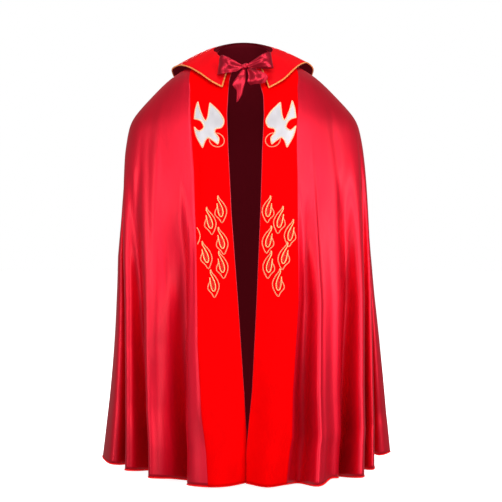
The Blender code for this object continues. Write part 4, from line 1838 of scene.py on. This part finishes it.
    def flames(self, shop: Workshop) -> list[bpy.types.Object]:
        """The fall of flames: peach outlines, gold tongues and bronze hearts.

        Args:
            shop: Where pieces are made.

        Returns:
            The pieces.
        """
        places = LEFT_FLAMES if self.band.side is Side.LEFT else RIGHT_FLAMES
        kinds = (
            ("flame_outlines", FLAME_OUTLINE, self.fine_half, self.fine_height, PEACH_STITCH),
            ("flame_tongues", FLAME_TONGUE, self.fine_half, self.tongue_height, GOLD_STITCH),
            ("flame_hearts", FLAME_HEART, self.heart_half, self.heart_height, BRONZE_STITCH),
        )
        made = []
        for name, table, half, height, finish in kinds:
            lines = [self.stroke(table, place) for place in places]
            lines = [line for line in lines if len(line[0]) >= self.stroke_least]
            section = self.profile(half, height)
            piece = shop.strip_along(f"{name}_{self.label}", lines, section, finish, closed=False)
            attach(piece, "root")
            made.append(piece)
        return made

    def build(self, shop: Workshop) -> list[bpy.types.Object]:
        """Builds the dove, its halo and the flames."""
        return self.dove(shop) + self.flames(shop)


@dataclass
class Studio:
    """The camera at the photograph's place, soft lights, a pale floor and a white backdrop."""

    eye: tuple = (0.0233, -3.05, -0.645)
    lens: float = 65.6
    sensor: float = 36.0
    floor_height: float = -1.374
    floor_radii: tuple = (0.0, 3.0, 9.0, 30.0)
    floor_points: int = 96
    floor_colour: tuple = (0.86, 0.86, 0.86, 1.0)
    floor_roughness: float = 0.9
    floor_gloss: float = 0.1
    floor_glow: float = 0.95
    backdrop: float = 1.0
    ambient: float = 0.24
    lamps: tuple = (
        Lamp("high_box", (0.0, -2.7, 0.9), (0.0, 0.0, -0.35), 2.0, 0.8, 13.0, 120.0),
        Lamp("top_box", (0.0, -1.2, 2.2), (0.0, 0.0, -0.1), 1.6, 1.0, 10.0, 120.0),
        Lamp("left_front", (-1.6, -2.9, 0.0), (0.0, 0.0, -0.65), 0.8, 1.6, 6.0, 120.0),
        Lamp("right_front", (1.6, -2.9, 0.0), (0.0, 0.0, -0.65), 0.8, 1.6, 12.5, 120.0),
        Lamp("left_side", (-2.8, -1.7, -0.3), (0.0, 0.0, -0.7), 0.6, 1.8, 9.5, 120.0),
        Lamp("right_side", (2.8, -1.7, -0.3), (0.0, 0.0, -0.7), 0.6, 1.8, 15.0, 120.0),
        Lamp("rear_box", (-0.1, 3.2, 0.9), (0.0, 0.0, -0.6), 1.2, 1.2, 60.0, 180.0),
    )

    def camera(self) -> None:
        """Places the camera level, looking along +Y."""
        data = bpy.data.cameras.new("camera")
        data.lens = self.lens
        data.sensor_width = self.sensor
        camera = bpy.data.objects.new("camera", data)
        camera.location = self.eye
        camera.rotation_euler = (math.radians(90.0), 0.0, 0.0)
        bpy.context.scene.collection.objects.link(camera)
        bpy.context.scene.camera = camera

    @staticmethod
    def light(lamp: Lamp) -> None:
        """Adds one soft box that the camera doesn't see.

        Args:
            lamp: The soft box.
        """
        data = bpy.data.lights.new(lamp.name, "AREA")
        data.shape = "RECTANGLE"
        data.size = lamp.width
        data.size_y = lamp.height
        data.energy = lamp.watts
        data.spread = math.radians(lamp.spread)
        box = bpy.data.objects.new(lamp.name, data)
        box.location = lamp.place
        way = Vector(lamp.aim) - Vector(lamp.place)
        box.rotation_euler = way.to_track_quat("-Z", "Y").to_euler()
        box.visible_camera = False
        bpy.context.scene.collection.objects.link(box)

    def floor(self) -> None:
        """A pale floor disc: a point is a ring's radius times the cos and sin of its turn."""
        turn = np.linspace(0.0, 2.0 * math.pi, self.floor_points, endpoint=False)
        radii = np.array(self.floor_radii)[:, None]
        level = np.full((len(radii), self.floor_points), self.floor_height)
        grid = np.stack([radii * np.cos(turn), radii * np.sin(turn), level], axis=2)
        start = np.arange(len(radii) - 1)[:, None] * self.floor_points
        around = np.arange(self.floor_points)[None, :]
        corner = start + around
        beside = start + (around + 1) % self.floor_points
        quads = [corner, corner + self.floor_points, beside + self.floor_points, beside]
        faces = np.stack(quads, axis=-1).reshape(-1, 4)
        mesh = bpy.data.meshes.new("floor")
        mesh.from_pydata(grid.reshape(-1, 3).tolist(), [], faces.tolist())
        shader = Shader("pale_floor")
        shader.set(
            Base_Color=self.floor_colour,
            Roughness=self.floor_roughness,
            Specular_IOR_Level=self.floor_gloss,
            Emission_Color=WHITE,
            Emission_Strength=self.floor_glow,
        )
        mesh.materials.append(shader.material)
        floor = bpy.data.objects.new("floor", mesh)
        floor.visible_diffuse = False
        floor.visible_glossy = False
        bpy.context.scene.collection.objects.link(floor)

    def sky(self) -> None:
        """A world that the camera sees as white, and that lights the cope only dimly."""
        world = bpy.data.worlds.new("studio")
        world.use_nodes = True
        nodes, links = world.node_tree.nodes, world.node_tree.links
        white = nodes["Background"]
        white.inputs["Color"].default_value = WHITE
        white.inputs["Strength"].default_value = self.backdrop
        dim = nodes.new("ShaderNodeBackground")
        dim.inputs["Color"].default_value = WHITE
        dim.inputs["Strength"].default_value = self.ambient
        path = nodes.new("ShaderNodeLightPath")
        mix = nodes.new("ShaderNodeMixShader")
        links.new(path.outputs["Is Camera Ray"], mix.inputs["Fac"])
        links.new(dim.outputs["Background"], mix.inputs[1])
        links.new(white.outputs["Background"], mix.inputs[2])
        links.new(mix.outputs["Shader"], nodes["World Output"].inputs["Surface"])
        bpy.context.scene.world = world

    def build(self) -> None:
        """Sets the whole studio up, with colours shown as they are."""
        self.camera()
        for lamp in self.lamps:
            self.light(lamp)
        self.floor()
        self.sky()
        bpy.context.scene.view_settings.view_transform = "Standard"
        bpy.context.scene.view_settings.look = "None"


def corners(box: tuple) -> list[list[float]]:
    """A box's two corners as plain lists."""
    return [[float(c) for c in corner] for corner in box]


def main() -> None:
    """Builds the cope piece by piece and reports each."""
    logging.basicConfig(level=logging.INFO, format="%(message)s")
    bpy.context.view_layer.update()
    shop = Workshop()
    form = CopeForm()
    studio = Studio()
    studio.build()
    log.info("studio set")
    pieces = Cloak(form).build(shop)
    bands = [Orphrey(form, side) for side in Side]
    pieces += [band.build(shop) for band in bands]
    pieces += Collar(form).build(shop)
    pieces += Bow().build(shop)
    for band in bands:
        pieces += Embroidery(band).build(shop)
    for piece in pieces:
        log.info("%s: %d faces", piece.name, len(piece.data.polygons))


if __name__ == "__main__":
    main()
